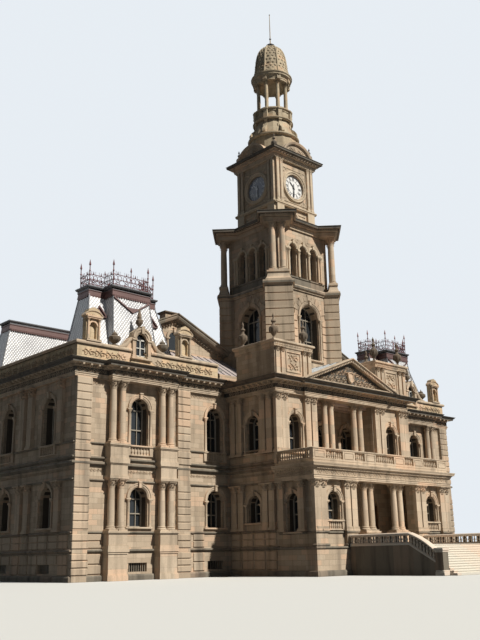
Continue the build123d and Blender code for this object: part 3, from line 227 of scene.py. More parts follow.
ashlar = stone("sandstone_ashlar", (0.61, 0.495, 0.37), (0.41, 0.32, 0.23), (0.08, 0.065, 0.05))
dressed = stone("sandstone_dressed", (0.67, 0.545, 0.41), (0.47, 0.37, 0.27), (0.09, 0.075, 0.055),
                course=0.42, length=1.4, joint=0.003, streaks=0.45)
ledge_stone = stone("sandstone_ledges", (0.30, 0.26, 0.205), (0.18, 0.155, 0.12), (0.05, 0.043, 0.035),
                    course=3.0, length=0.9, joint=0.003, streaks=0.7, stains=0.7)
floor_stone = stone("floor_flags", (0.45, 0.42, 0.36), (0.36, 0.33, 0.28), (0.15, 0.13, 0.11))


def paint_node(name, material):
    """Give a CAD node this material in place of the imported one."""
    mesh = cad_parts[name].data
    mesh.materials.clear()
    mesh.materials.append(material)


for name in ("main_front_wall", "side_walls", "wing_front_walls", "back_wall", "loggia_wall",
             "porch_front_walls", "porch_side_walls", "porch_base", "tower_front_and_back", "tower_sides",
             "tower_piers", "tower_corner_piers", "belfry_front_and_back", "belfry_sides",
             "clock_front_and_back", "clock_sides"):
    paint_node(name, ashlar)
for name in ("porch_entablature", "tower_string_course", "belfry_entablature"):
    paint_node(name, dressed)
for name in ("basement_floor", "ground_floor", "upper_floor", "roof_deck"):
    paint_node(name, floor_stone)


# The plinth and the ledges of the wings, the main block and the porch: long moulded stones laid on
# top of each other and mitred at the corners.
def sized(x, y, z):
    """Matrix that stretches a shape of size one to these sizes."""
    return Matrix.Diagonal((x, y, z, 1))


def add_cube(bm, place):
    """Square stone with sharp arrises: a cube of size one, stretched and set by place."""
    return bmesh.ops.create_cube(bm, size=1, matrix=place)


def span(middle, half):
    """Pair of ends of a stone of this half width."""
    return middle - half, middle + half


def add_block(bm, x, y, z, chamfer=0.0):
    """Squared stone between pairs of x, y and z, with its arrises taken off by chamfer."""
    middle = [(low + high) / 2 for low, high in (x, y, z)]
    size = [high - low for low, high in (x, y, z)]
    made = add_cube(bm, at(*middle) @ sized(*size))
    if chamfer:
        arrises = {edge for corner in made["verts"] for edge in corner.link_edges}
        bmesh.ops.bevel(bm, geom=list(arrises), offset=chamfer, affect="EDGES", segments=1, profile=0.5,
                        material=-1)


def moulding(bm, path, profile, place=Matrix(), closed=False):
    """Run a closed profile of (outward, upward) steps along a flat path, mitred at its corners.

    Outward is the right-hand side of the path; place turns the path's plane to where it belongs.
    """
    points = [Vector(point) for point in path]
    count = len(points)
    stations = []
    for index, point in enumerate(points):
        into = point - points[index - 1] if closed or index else points[1] - point
        away = points[(index + 1) % count] - point if closed or index < count - 1 else into
        into.normalize()
        away.normalize()
        sides = Vector((into.y, -into.x)), Vector((away.y, -away.x))
        stations.append((point, (sides[0] + sides[1]) / (1 + sides[0].dot(sides[1]))))

    def spot(station, step):
        point, mitre = station
        return place @ Vector((point.x + mitre.x * step[0], point.y + mitre.y * step[0], step[1]))

    ring = [bm.verts.new(spot(stations[0], step)) for step in profile]
    step_of = dict(zip(ring, profile))
    edges = [bm.edges.new(pair) for pair in zip(ring, ring[1:] + ring[:1])]
    first = list(edges)
    for station in stations[1:]:
        made = bmesh.ops.extrude_edge_only(bm, edges=edges)["geom"]
        fresh = {item for item in made if isinstance(item, bmesh.types.BMVert)}
        for corner in fresh:
            source = next(edge.other_vert(corner) for edge in corner.link_edges
                          if edge.other_vert(corner) not in fresh)
            step_of[corner] = step_of[source]
            corner.co = spot(station, step_of[corner])
        edges = [item for item in made if isinstance(item, bmesh.types.BMEdge)
                 and item.verts[0] in fresh and item.verts[1] in fresh]
    if closed:
        bmesh.ops.bridge_loops(bm, edges=edges + first)
    else:
        bmesh.ops.edgeloop_fill(bm, edges=first)
        bmesh.ops.edgeloop_fill(bm, edges=edges)


def finish_piece(name, bm, material, *replaced, body="building", slot="sandstone", smooth=False):
    """Make the bmesh a piece that rides on its body, and that stands for the nodes it replaces."""
    bmesh.ops.recalc_face_normals(bm, faces=bm.faces)
    mesh = bpy.data.meshes.new(name)
    bm.to_mesh(mesh)
    bm.free()
    mesh.materials.append(material)
    if smooth:
        mesh.polygons.foreach_set("use_smooth", [True] * len(mesh.polygons))
        mesh.set_sharp_from_angle(angle=math.radians(38))
    piece = bpy.data.objects.new(name, mesh)
    bpy.context.scene.collection.objects.link(piece)
    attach(piece, body)
    if replaced:
        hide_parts(*replaced)
    return piece


def flipped(path):
    """The same path on the other side of the building, run in the same sense."""
    return [(-x, y) for x, y in reversed(path)]


def symmetric(path):
    """The path and its like on the other side as one."""
    return path + flipped(path)


wing_front, wing_back, wing_side = 3.075, 13.475, 12.14
wing_path = symmetric([(4.36, wing_front), (wing_side, wing_front), (wing_side, wing_back)])
main_side = 4.35
main_left_path = [(-main_side, wing_front), (-main_side, 0.16)]
main_right_path = flipped(main_left_path)


def against_wall(*steps, weather=0.0):
    """Profile of (outward, upward) steps from the wall's face, let into the wall behind by 2 cm.

    Weather is how far the top of the stone slopes up to the wall.
    """
    set_in = -0.02
    return (set_in, steps[0][1]), *steps, (set_in, steps[-1][1] + weather)


plinth = against_wall((0.10, 0.0), (0.10, 0.16), (0.06, 0.22))
base_cap = against_wall((0.03, 0.0), (0.05, 0.03), (0.10, 0.07), (0.10, 0.12), (0.05, 0.14))
ledge = against_wall((0.04, 0.0), (0.05, 0.05), (0.12, 0.09), (0.14, 0.09), (0.14, 0.15), (0.10, 0.18),
                     weather=0.02)
sill_band = against_wall((0.03, 0.0), (0.07, 0.03), (0.07, 0.07), weather=0.02)

bm = bmesh.new()
for path in (wing_path, main_left_path, main_right_path):
    for profile, level in ((plinth, 0.0), (base_cap, 1.00), (sill_band, 1.70), (sill_band, 3.62),
                           (ledge, 4.16), (base_cap, 4.40), (sill_band, 5.0)):
        moulding(bm, path, profile, at(0, 0, level))
finish_piece("wall_ledges", bm, ledge_stone)


# Rustication: blocks with sunk joints on the corner piers of the wings, on the base of every front
# and on the diagonal piers of the tower.
def facing(x, y, turn):
    """Placing matrix of a wall face: local x runs to the onlooker's right and local -y looks outwards."""
    return at(x, y, 0) @ Matrix.Rotation(math.radians(turn), 4, "Z")


def keep_mesh(bm):
    """Close a bmesh into a mesh that can be stamped many times."""
    bmesh.ops.recalc_face_normals(bm, faces=bm.faces)
    mesh = bpy.data.meshes.new("pattern")
    bm.to_mesh(mesh)
    bm.free()
    return mesh


def stamp(bm, mesh, places):
    """Set a copy of a kept mesh at each placing matrix."""
    for place in places:
        copy = mesh.copy()
        copy.transform(place)
        bm.from_mesh(copy)
        bpy.data.meshes.remove(copy)


def stamped(mesh, places):
    """New bmesh that holds a copy of a kept mesh at each placing matrix."""
    bm = bmesh.new()
    stamp(bm, mesh, places)
    return bm


def banded_pier(bm, half, depth, levels, gap=0.05, chamfer=0.015):
    """Blocks stacked between the levels, wrapped round a pier of this half width and depth."""
    for low, high in zip(levels, levels[1:]):
        add_block(bm, (-half, half), (-depth, 0.02), (low + gap / 2, high - gap / 2), chamfer)


rustic_stone = stone("sandstone_rustic", (0.61, 0.50, 0.375), (0.44, 0.345, 0.25), (0.08, 0.065, 0.05),
                     course=3.0, length=0.7, joint=0.004, streaks=0.6, stains=0.5, relief=0.9)
pier_levels = [1.84 + 0.297 * step for step in range(7)]
upper_pier_levels = [5.09 + 0.305 * step for step in range(9)]
bm = bmesh.new()
banded_pier(bm, 0.335, 0.15, pier_levels)
banded_pier(bm, 0.335, 0.15, upper_pier_levels)
banded_pier(bm, 0.35, 0.16, [0.22 + 0.26 * step for step in range(4)])
banded_pier(bm, 0.35, 0.16, [1.14, 1.42, 1.70])
banded_pier(bm, 0.35, 0.16, [4.42, 4.70, 5.0])
pier_faces = [facing(side * x, wing_front, 0) for side in (-1, 1) for x in (6.97, 11.815)]
finish_piece("banded_piers", stamped(keep_mesh(bm), pier_faces), rustic_stone)


# Raised panels of the base, between the basement slots: four rows of flat blocks on the fronts of the
# wings, on their sides and on the sides of the main block.
def mirrored(side, near, far):
    """Span between two distances from the middle, on the left side (-1) or on the right one (1)."""
    return sorted((side * near, side * far))


side_window_y, slot_row_top, proud, let_in = (4.947, 8.275, 11.603), 0.6, 0.045, 0.02
bm = bmesh.new()
for levels in ((0.26, 0.58), (0.62, 0.96), (1.18, 1.42), (1.45, 1.68)):
    for side in (-1, 1):
        for x in (6.12, 11.13):
            add_block(bm, mirrored(side, *span(x, 0.29)), (wing_front - proud, wing_front + let_in), levels,
                      0.02)
        rows = [(wing_side, wing_front + 0.5 + 0.72 * step, 0.33) for step in range(14)]
        rows += [(main_side, y, 0.31) for y in (0.62, 1.3, 2.0, 2.68)]
        for wall, y, half in rows:
            near_slot = min(abs(y - window) for window in side_window_y) <= 0.7
            if wall == main_side or levels[0] > slot_row_top or not near_slot:
                add_block(bm, mirrored(side, wall - let_in, wall + proud), span(y, half), levels, 0.02)
finish_piece("base_panels", bm, rustic_stone)


# Columns and pilasters: turned shafts on moulded bases with leafy capitals under a square abacus. The
# orders of the wings, the porch, the loggia and the walls are all made from them.
def turned(profile, sides):
    """Turned mesh of (radius, height) steps about the upright axis."""
    bm = bmesh.new()
    corners = [bm.verts.new((radius, 0, height)) for radius, height in profile]
    edges = [bm.edges.new(pair) for pair in zip(corners, corners[1:])]
    bmesh.ops.spin(bm, geom=corners + edges, cent=(0, 0, 0), axis=(0, 0, 1), angle=math.tau, steps=sides,
                   use_merge=True)
    bmesh.ops.remove_doubles(bm, verts=bm.verts, dist=1e-5)
    return keep_mesh(bm)


def add_leaf(bm, turn, level, height, width, root, lean):
    """One acanthus leaf that stands against the bell of a capital and curls over at its tip."""
    made = bmesh.ops.create_grid(bm, x_segments=2, y_segments=3, size=0.5)["verts"]
    for corner in made:
        rise = corner.co.y + 0.5
        spread = corner.co.x * width * (1.15 - 0.75 * rise * rise)
        out = root * (1 + 0.10 * rise) + lean * rise ** 3 - 0.10 * lean * abs(corner.co.x)
        up = level + height * (rise - 0.22 * rise ** 4)
        corner.co = Matrix.Rotation(turn, 3, "Z") @ Vector((out, spread, up))
    faces = list({face for corner in made for face in corner.link_faces})
    bmesh.ops.solidify(bm, geom=faces, thickness=0.03 * root)


def leafy_capital():
    """Capital of radius 1 and height 2.2: bell, two rows of leaves, corner scrolls and abacus."""
    bm = bmesh.new()
    stamp(bm, turned(((0.0, 0.0), (1.0, 0.0), (1.0, 0.12), (0.88, 0.16), (0.90, 1.2), (1.15, 1.75),
                      (1.15, 1.8), (0.0, 1.8)), 12), [Matrix()])
    for step in range(8):
        add_leaf(bm, math.tau * step / 8, 0.12, 0.72, 0.72, 0.92, 0.42)
        add_leaf(bm, math.tau * (step + 0.5) / 8, 0.45, 0.95, 0.66, 0.92, 0.50)
    scroll = turned(((0.0, -0.16), (0.22, -0.14), (0.12, 0.0), (0.22, 0.14), (0.0, 0.16)), 7)
    for corner in range(4):
        turn = Matrix.Rotation(math.tau * (corner + 0.5) / 4, 4, "Z")
        stamp(bm, scroll, [turn @ at(1.42, 0, 1.62) @ Matrix.Rotation(math.pi / 2, 4, "X")])
        stamp(bm, scroll, [turn @ Matrix.Rotation(math.tau / 8, 4, "Z") @ at(1.12, 0, 1.66)
                           @ Matrix.Rotation(math.pi / 2, 4, "X") @ Matrix.Scale(0.6, 4)])
    add_block(bm, (-1.35, 1.35), (-1.35, 1.35), (1.82, 2.0), 0.04)
    add_block(bm, (-1.45, 1.45), (-1.45, 1.45), (2.0, 2.2), 0.05)
    return keep_mesh(bm)


capital = leafy_capital()
base_turned = turned(((0.0, 0.0), (1.38, 0.0), (1.42, 0.10), (1.42, 0.22), (1.34, 0.32), (1.16, 0.40),
                      (1.12, 0.50), (1.18, 0.60), (1.24, 0.66), (1.24, 0.76), (1.14, 0.84), (1.0, 0.9),
                      (0.0, 0.9)), 16)
shaft_turned = turned(((0.0, 0.0), (1.0, 0.0), (1.0, 0.30), (0.97, 0.55), (0.93, 0.80), (0.87, 0.97),
                       (0.93, 0.975), (0.93, 1.0), (0.0, 1.0)), 16)


def add_column(bm, place, bottom, top, radius):
    """Round column between two levels: square foot, base, shaft and leafy capital."""
    foot = 0.45 * radius
    shaft = bottom + foot + 0.9 * radius
    lift = top - 2.2 * radius
    spot = place @ at(0, 0, bottom)
    add_cube(bm, spot @ at(0, 0, foot / 2) @ sized(2.9 * radius, 2.9 * radius, foot))
    stamp(bm, base_turned, [spot @ at(0, 0, foot) @ Matrix.Scale(radius, 4)])
    stamp(bm, shaft_turned, [place @ at(0, 0, shaft) @ sized(radius, radius, lift - shaft)])
    stamp(bm, capital, [place @ at(0, 0, lift) @ Matrix.Scale(radius, 4)])


def add_pedestal(bm, place, bottom, top, half, depth):
    """Pedestal with a projecting foot, a sunk panel and a projecting cap."""
    rise = top - bottom
    for low, high, grow in ((0.0, 0.16, 0.03), (0.16, 0.20, 0.015), (0.20, 0.84, -0.01),
                            (0.84, 0.90, 0.02), (0.90, 1.0, 0.05)):
        add_cube(bm, place @ at(0, 0, bottom + rise * (low + high) / 2)
                 @ sized(2 * (half + grow), depth + 2 * grow, rise * (high - low)))


def add_pilaster(bm, place, bottom, top, width, depth):
    """Flat pier against a wall, local y = 0 at the wall's face, with a moulded foot and a leafy capital."""
    base = 0.45 * width
    lift = top - 1.02 * width
    clear = 0.012
    for low, high, grow in ((0.0, 0.5, 0.05), (0.5, 0.8, 0.03), (0.8, 1.0, 0.015)):
        add_cube(bm, place @ at(0, -depth / 2, bottom + base * (low + high) / 2)
                 @ sized(width + 2 * grow, depth + 2 * grow, base * (high - low)))
    add_cube(bm, place @ at(0, -depth / 2, (bottom + base + lift) / 2)
             @ sized(width + clear, depth + clear, lift - bottom - base))
    head = place @ at(0, -0.35 * depth, lift)
    stamp(bm, capital, [head @ sized(0.50 * width, 0.50 * width, 0.464 * width)])


# Foot and head of each order
wing_low, porch_order, main_order, wing_high = (1.785, 3.65), (1.675, 3.65), (4.86, 7.37), (5.05, 7.53)
pavilion_x, column_radius, stand_off = 9.15, 0.14, 0.205
bm = bmesh.new()
for side in (-1, 1):
    for offset in (-1.41, -0.975, 0.975, 1.41):
        place = at(side * pavilion_x + offset, wing_front - stand_off, 0)
        add_column(bm, place, 1.785, 3.72, column_radius)
        add_column(bm, place, *wing_high, column_radius)
    for offset in (-1.1925, 1.1925):
        place = at(side * pavilion_x + offset, wing_front - stand_off, 0)
        for bottom, top, half, depth in ((0.0, 1.14, 0.43, 0.41), (1.14, 1.785, 0.43, 0.41),
                                         (3.72, 4.36, 0.40, 0.38), (4.36, 5.05, 0.43, 0.41)):
            add_pedestal(bm, place, bottom, top, half, depth)
finish_piece("pavilion_column_set", bm, dressed, "pavilion_columns", smooth=True)

porch_column_y, loggia_column_y, pair_x = -1.66, 0.29, (0.775, 1.2)
bm = bmesh.new()
for side in (-1, 1):
    for x in pair_x:
        add_column(bm, at(side * x, porch_column_y, 0), *porch_order, column_radius)
        add_column(bm, at(side * x, loggia_column_y, 0), *main_order, column_radius)
    for y, bottom, top in ((porch_column_y, 1.1, 1.675), (loggia_column_y, 4.375, 4.86)):
        add_pedestal(bm, at(side * sum(pair_x) / 2, y, 0), bottom, top, 0.42, 0.42)
finish_piece("portico_column_set", bm, dressed, "portico_columns", smooth=True)

main_front, porch_wall = 0.15, -1.80
main_pilaster, wing_pilaster = (0.31, 0.15), (0.34, 0.14)
bm = bmesh.new()
for side in (-1, 1):
    for x in (2.16, 2.56, 3.975, 4.345):
        add_pilaster(bm, facing(side * x, main_front, 0), *main_order, *main_pilaster)
        add_pilaster(bm, facing(side * x, porch_wall, 0), *porch_order, *main_pilaster)
    for offset in (-1.13, -0.73, 0.73, 1.13):
        face = facing(side * main_side, 1.5875 + offset, 90 * side)
        add_pilaster(bm, face, *main_order, *main_pilaster)
        add_pilaster(bm, face, *wing_low, 0.31, 0.12)
    for y in (-1.185, -0.065):
        add_pilaster(bm, facing(side * main_side, y, 90 * side), *porch_order, *main_pilaster)
    wing_faces = [facing(side * wing_side, y, 90 * side) for y in (4.0, 6.3, 6.95, 9.6, 10.25, 12.6)]
    wing_faces += [facing(side * x, wing_back, 180) for x in (1.2, 3.9, 6.6, 7.75, 10.55, 11.5)]
    for face in wing_faces:
        add_pilaster(bm, face, *wing_high, *wing_pilaster)
        add_pilaster(bm, face, *wing_low, 0.34, 0.12)
finish_piece("pilaster_set", bm, dressed, smooth=True)

# Windows and glazed doors: round-headed openings with a moulded arch on small columns, a keystone, a
# sill and a painted sash deep in the wall.
upright = Matrix.Rotation(math.pi / 2, 4, "X")


def arch_path(half, sill, spring, steps=12):
    """Path up the right side of an opening, over its round head and down the left side."""
    head = [(half * math.cos(math.pi * step / steps), spring + half * math.sin(math.pi * step / steps))
            for step in range(steps + 1)]
    return [(half, sill)] + head + [(-half, sill)]


archivolt = ((0.0, -0.02), (0.0, 0.02), (0.04, 0.035), (0.05, 0.05), (0.11, 0.05), (0.12, 0.075),
             (0.16, 0.075), (0.17, -0.02))
small_column = turned(((0.0, 0.0), (1.4, 0.0), (1.4, 0.03), (1.0, 0.05), (0.9, 0.9), (1.1, 0.93), (1.7, 0.99),
                       (1.7, 1.0), (0.0, 1.0)), 8)


def window_stone(half, sill, spring, columns=True, panel=0.0):
    """Dressed stone round one window, at local y = 0 on the wall's face."""
    impost, sill_height, into_wall = 0.07, 0.07, 0.02
    bm = bmesh.new()
    moulding(bm, arch_path(half, sill, spring)[1:-1], archivolt, upright)
    for side in (-1, 1):
        add_block(bm, mirrored(side, half - 0.01, half + 0.21), (-0.11, into_wall),
                  (spring - impost, spring), 0.012)
        if columns:
            spot = at(side * (half + 0.09), -0.035, sill)
            stamp(bm, small_column, [spot @ sized(0.05, 0.05, spring - impost - sill)])
    key = at(0, -0.05, spring + half + 0.09)
    add_cube(bm, key @ sized(0.12, 0.14, 0.24))
    add_cube(bm, key @ at(0, 0, 0.1) @ sized(0.16, 0.18, 0.05))
    add_block(bm, (-half - 0.2, half + 0.2), (-0.10, 0.05), (sill - sill_height, sill), 0.015)
    if panel:
        low = sill - sill_height - panel
        for step in range(6):
            x = (step - 2.5) * half / 3
            stamp(bm, baluster, [at(x, -0.02, low) @ sized(0.042, 0.042, panel)])
        add_block(bm, (-half - 0.04, half + 0.04), (-0.07, into_wall), (low - 0.05, low), 0.01)
        for side in (-1, 1):
            add_block(bm, mirrored(side, half + 0.04, half + 0.2), (-0.07, into_wall),
                      (low - 0.05, sill - sill_height), 0.012)
    return keep_mesh(bm)


def window_sash(half, sill, spring, depth, bars=(0.0,), transoms=()):
    """Painted sash against the glass: arched frame, upright bars, transoms and a spring bar."""
    bm = bmesh.new()
    frame_profile = ((-0.05, -depth), (-0.05, 0.06 - depth), (-0.03, 0.07 - depth), (0.0, 0.07 - depth),
                     (0.0, -depth))
    moulding(bm, arch_path(half, sill, spring), frame_profile, upright)
    bar_half, rail_half, off_glass = 0.014, 0.022, 0.005
    for x in bars:
        rise = math.sqrt(half * half - x * x)
        add_block(bm, span(x, bar_half), (depth - 0.05, depth - off_glass), (sill, spring + rise - 0.02))
    for level in (sill + 0.03, spring) + transoms:
        add_block(bm, (-half + 0.02, half - 0.02), (depth - 0.06, depth - off_glass),
                  span(level, rail_half))
    return keep_mesh(bm)


def four_sides(half):
    """Placing matrices of the tower's four walls, which stand this far from its axis."""
    return [facing(half * math.sin(math.radians(turn)), tower_y - half * math.cos(math.radians(turn)), turn)
            for turn in (0, 90, 180, 270)]


baluster = turned(((0.0, 0.0), (0.9, 0.0), (0.9, 0.10), (0.5, 0.14), (0.55, 0.18), (1.0, 0.34), (0.9, 0.46),
                   (0.45, 0.68), (0.45, 0.82), (0.7, 0.86), (0.7, 0.90), (0.95, 0.92), (0.95, 1.0),
                   (0.0, 1.0)), 8)
tower_y, tower_half, loggia_back = 4.05, 2.015, 1.50
wing_window_faces = [facing(side * x, wing_front, 0) for side in (-1, 1) for x in (5.22, pavilion_x)]
wing_window_faces += [facing(side * wing_side, y, 90 * side) for side in (-1, 1) for y in side_window_y]
wing_window_faces += [facing(x, wing_back, 180) for x in (-pavilion_x, -5.22, 0, 5.22, pavilion_x)]
main_front_faces = [facing(side * 3.25, main_front, 0) for side in (-1, 1)]
main_side_faces = [facing(side * main_side, 1.5875, 90 * side) for side in (-1, 1)]
porch_front_faces = [facing(side * 3.25, porch_wall, 0) for side in (-1, 1)]
porch_side_faces = [facing(side * main_side, -0.625, 90 * side) for side in (-1, 1)]
loggia_door_faces = [facing(x, loggia_back, 0) for x in (-1.68, 0, 1.68)]
tower_faces = four_sides(tower_half)

# Half width, sill, spring of the arch and depth of the glass; small columns or none, height of the
# balusters under the sill, places of the upright bars and levels of the transoms
window_kinds = (
    (wing_window_faces, 0.43, 5.08, 6.54, 0.45, True, 0.30, (-0.14, 0.14), (5.75,)),
    (wing_window_faces, 0.43, 1.95, 3.04, 0.45, True, 0.0, (-0.14, 0.14), (2.48,)),
    (main_front_faces + main_side_faces, 0.36, 4.95, 6.20, 0.45, True, 0.0, (0.0,), (5.58,)),
    (main_side_faces, 0.36, 2.10, 2.85, 0.45, True, 0.0, (0.0,), (2.48,)),
    (porch_front_faces, 0.36, 2.10, 2.85, 0.40, True, 0.28, (0.0,), (2.48,)),
    (porch_side_faces, 0.32, 1.675, 2.85, 0.40, False, 0.0, (0.0,), (2.35,)),
    (loggia_door_faces, 0.45, 4.375, 6.10, 0.45, False, 0.0, (-0.15, 0.0, 0.15), (5.2,)),
    (tower_faces, 0.65, 9.70, 11.75, 0.50, True, 0.0, (-0.22, 0.22), (10.7,)),
)
# Each opening also gets a lining, a thin sheet round the inside of its reveal from the glass out to 13 cm
# behind the face. Its near-black paint is painted shade in the deep reveals.
stone_bm, sash_bm, lining_bm = bmesh.new(), bmesh.new(), bmesh.new()
for faces, half, sill, spring, depth, with_columns, panel, bars, transoms in window_kinds:
    stamp(stone_bm, window_stone(half, sill, spring, with_columns, panel), faces)
    stamp(sash_bm, window_sash(half, sill, spring, depth, bars, transoms), faces)
    one = bmesh.new()
    lining = ((-0.014, -depth), (-0.014, -0.13), (0.003, -0.13), (0.003, -depth))
    moulding(one, arch_path(half, sill, spring), lining, upright)
    stamp(lining_bm, keep_mesh(one), faces)
slot_bars = bmesh.new()
for step in range(9):
    add_block(slot_bars, (0.1 * step - 0.41, 0.1 * step - 0.39), (0.10, 0.12), (0.30, 0.63))
stamp(sash_bm, keep_mesh(slot_bars), wing_window_faces)
finish_piece("window_stone", stone_bm, dressed, smooth=True)


def plain_paint(name, color, roughness=0.5, metallic=0.0, spread=0.25, size=30.0):
    """Painted or cast surface with a slightly uneven tone and a fine skin."""
    material, tree, shader = new_material(name)
    place = add_node(tree, "TexCoord").outputs["Object"]
    cloud = add_node(tree, "TexNoise", {"Vector": place, "Scale": size / 8, "Detail": 6.0})
    fine = add_node(tree, "TexNoise", {"Vector": place, "Scale": size, "Detail": 3.0})
    worn = tuple(channel * (1 - spread) for channel in color)
    tone = blend_color(tree, cloud.outputs["Fac"], (*worn, 1), (*color, 1))
    finish_look(tree, shader, tone, roughness, fine.outputs["Fac"], 0.002, 0.3, metallic)
    return material


sash_paint = plain_paint("sash_paint", (0.34, 0.30, 0.24), 0.45)
finish_piece("window_sashes", sash_bm, sash_paint, slot="door_wood")
# Painted shade: the near-black paint of the linings darkens the reveals.
lining_shade_paint = plain_paint("lining_shade_paint", (0.07, 0.055, 0.04), 0.6)
finish_piece("window_linings", lining_bm, lining_shade_paint, slot="door_wood")

glass, tree, shader = new_material("window_glass")
shader.inputs["Base Color"].default_value = (0.03, 0.035, 0.04, 1)
shader.inputs["Roughness"].default_value = 0.06
shader.inputs["Transmission Weight"].default_value = 0.25
shader.inputs["Specular IOR Level"].default_value = 0.25
place = add_node(tree, "TexCoord").outputs["Object"]
wavy = add_node(tree, "TexNoise", {"Vector": place, "Scale": 2.4, "Detail": 1.0})
ripple = add_node(tree, "Bump", {"Height": wavy.outputs["Fac"], "Distance": 0.004, "Strength": 0.4})
tree.links.new(ripple.outputs[0], shader.inputs["Normal"])
for name in ("lower_windows", "upper_windows", "tower_windows"):
    paint_node(name, glass)


# The entablatures: architrave of stepped bands, frieze carved with scrolling foliage, dentils,
# brackets under the cornice and the cornice itself, all cut from long blocks.
def spaced(path, spacing, margin=0.0, closed=False):
    """Wall faces set out evenly along a flat path, at about the given spacing."""
    faces = []
    corners = [Vector(point) for point in path]
    for start, end in zip(corners, corners[1:] + corners[:1] if closed else corners[1:]):
        run = end - start
        length = run.length - 2 * margin
        count = round(length / spacing)
        for step in range(count):
            spot = start + run.normalized() * (margin + length * (step + 0.5) / count)
            faces.append(facing(spot.x, spot.y, math.degrees(math.atan2(run.y, run.x))))
    return faces


def scroll_pattern(length, height, relief=0.018):
    """One wave of carved foliage: a spiral stem with leaves, in relief on local y = 0."""
    stem, leaf_size, reach = 0.05 * height, 0.11 * height, 0.36 * height
    bm = bmesh.new()
    for flip in (-1, 1):
        middle = flip * length / 4
        turns = [(0.42 * height * (1 - step / 15), 0.62 * step) for step in range(14)]
        path = [(middle - flip * radius * math.sin(angle), flip * radius * math.cos(angle))
                for radius, angle in turns]
        moulding(bm, path, ((-stem, -0.004), (0.0, relief), (stem, -0.004)), upright)
        for angle in (0.4, 1.7, 3.0, 4.4, 5.6):
            leaf = at(middle + reach * math.cos(angle), reach * math.sin(angle), 0.0)
            swell = sized(1.0, 0.55, 0.9 * relief / leaf_size + 0.3)
            bmesh.ops.create_icosphere(bm, subdivisions=1, radius=leaf_size,
                                       matrix=upright @ leaf @ Matrix.Rotation(angle, 4, "Z") @ swell)
    return keep_mesh(bm)


bm = bmesh.new()
add_block(bm, (-0.028, 0.028), (-0.05, 0.01), (0.0, 0.06))
dentil = keep_mesh(bm)
bm = bmesh.new()
add_block(bm, (-0.05, 0.05), (-0.24, 0.02), (0.025, 0.07), 0.008)
add_block(bm, (-0.04, 0.04), (-0.13, 0.02), (-0.03, 0.03), 0.01)
stamp(bm, turned(((0.0, -0.045), (0.030, -0.045), (0.036, 0.0), (0.030, 0.045), (0.0, 0.045)), 8),
      [at(0, -0.20, 0.02) @ Matrix.Rotation(math.pi / 2, 4, "Y")])
bracket = keep_mesh(bm)


def order_top(bm, path, level, frieze=0.21, projection=0.37, back=0.45):
    """Whole entablature whose frieze stands on the path, with its underside at this level."""
    crown = 0.18 + frieze
    profile = ((-back, 0.0), (0.0, 0.0), (0.0, 0.05), (0.015, 0.055), (0.015, 0.11), (0.045, 0.13),
               (0.045, 0.155), (0.0, 0.165), (0.0, 0.165 + frieze), (0.02, crown), (0.025, crown + 0.07),
               (0.08, crown + 0.09), (0.72 * projection, crown + 0.10), (0.72 * projection, crown + 0.17),
               (0.78 * projection, crown + 0.18), (0.90 * projection, crown + 0.22),
               (projection, crown + 0.265), (projection, crown + 0.28), (-back, crown + 0.28))
    moulding(bm, path, profile, at(0, 0, level))


def order_trim(bm, path, level, frieze=0.21):
    """Dentils, brackets and carved foliage that go with such an entablature."""
    for mesh, out, lift, spacing, margin in ((dentil, 0.02, 0.185 + frieze, 0.10, 0.04),
                                             (bracket, 0.02, 0.21 + frieze, 0.33, 0.05),
                                             (foliage, 0.0, 0.165 + frieze / 2, 0.34, 0.1)):
        stamp(bm, mesh, [face @ at(0, -out, level + lift) for face in spaced(path, spacing, margin)])


foliage = scroll_pattern(0.34, 0.19)
break_out = [(4.9, 2.955), (7.55, 2.955), (7.55, 2.665), (10.75, 2.665), (10.75, 2.955), (12.26, 2.955)]
wing_top_path = symmetric(break_out + [(12.26, 13.595)])
wing_head, main_head, porch_head = wing_high[1], main_order[1], porch_order[1]
bm = bmesh.new()
order_top(bm, wing_top_path, wing_head, projection=0.38, back=0.57)
finish_piece("wing_entablature_stone", bm, dressed, "wing_entablature")
bm = bmesh.new()
order_trim(bm, wing_top_path, wing_head)
finish_piece("wing_entablature_carving", bm, dressed, smooth=True)

porch_reach, porch_front, main_frieze = 4.5, -1.95, 0.17
centre_reach, centre_front, under = 2.82, -0.09, 0.004
main_top_path = symmetric([(-porch_reach, 3.2), (-porch_reach, 0.0)])
centre_path = symmetric([(-centre_reach, 0.3), (-centre_reach, centre_front)])
main_left_top = [(-porch_reach, 3.0), (-porch_reach, 0.0), (-centre_reach, 0.0)]
bm = bmesh.new()
order_top(bm, main_top_path, main_head, main_frieze, 0.48)
order_top(bm, centre_path, main_head - under, main_frieze, 0.48)
finish_piece("main_entablature_stone", bm, dressed, "main_entablature")
bm = bmesh.new()
for path in (main_left_top, centre_path[1:3], flipped(main_left_top)):
    order_trim(bm, path, main_head, main_frieze)
finish_piece("main_entablature_carving", bm, dressed, smooth=True)

porch_top_path = symmetric([(-porch_reach, 0.14), (-porch_reach, porch_front)])
porch_order_top = against_wall((0.065, -0.004), (0.065, 0.05), (0.08, 0.055), (0.08, 0.11), (0.10, 0.13),
                               (0.10, 0.15), (0.065, 0.16), (0.065, 0.35), (0.105, 0.37), (0.105, 0.43),
                               (0.19, 0.48), (0.235, 0.485), (0.235, 0.53), (0.255, 0.56), (0.27, 0.60),
                               (0.27, 0.606))
bm = bmesh.new()
moulding(bm, porch_top_path, porch_order_top, at(0, 0, porch_head))
stamp(bm, dentil, [face @ at(0, -0.10, porch_head + 0.37) for face in spaced(porch_top_path, 0.10, 0.04)])
stamp(bm, foliage, [face @ at(0, -0.065, porch_head + 0.255) for face in spaced(porch_top_path, 0.34, 0.1)])
finish_piece("porch_entablature_carving", bm, dressed, smooth=True)
ledge_foliage = scroll_pattern(0.30, 0.15)
bm = bmesh.new()
for path in (wing_path, main_left_path, main_right_path):
    stamp(bm, ledge_foliage, [face @ at(0, -0.005, 4.03) for face in spaced(path, 0.30, 0.1)])
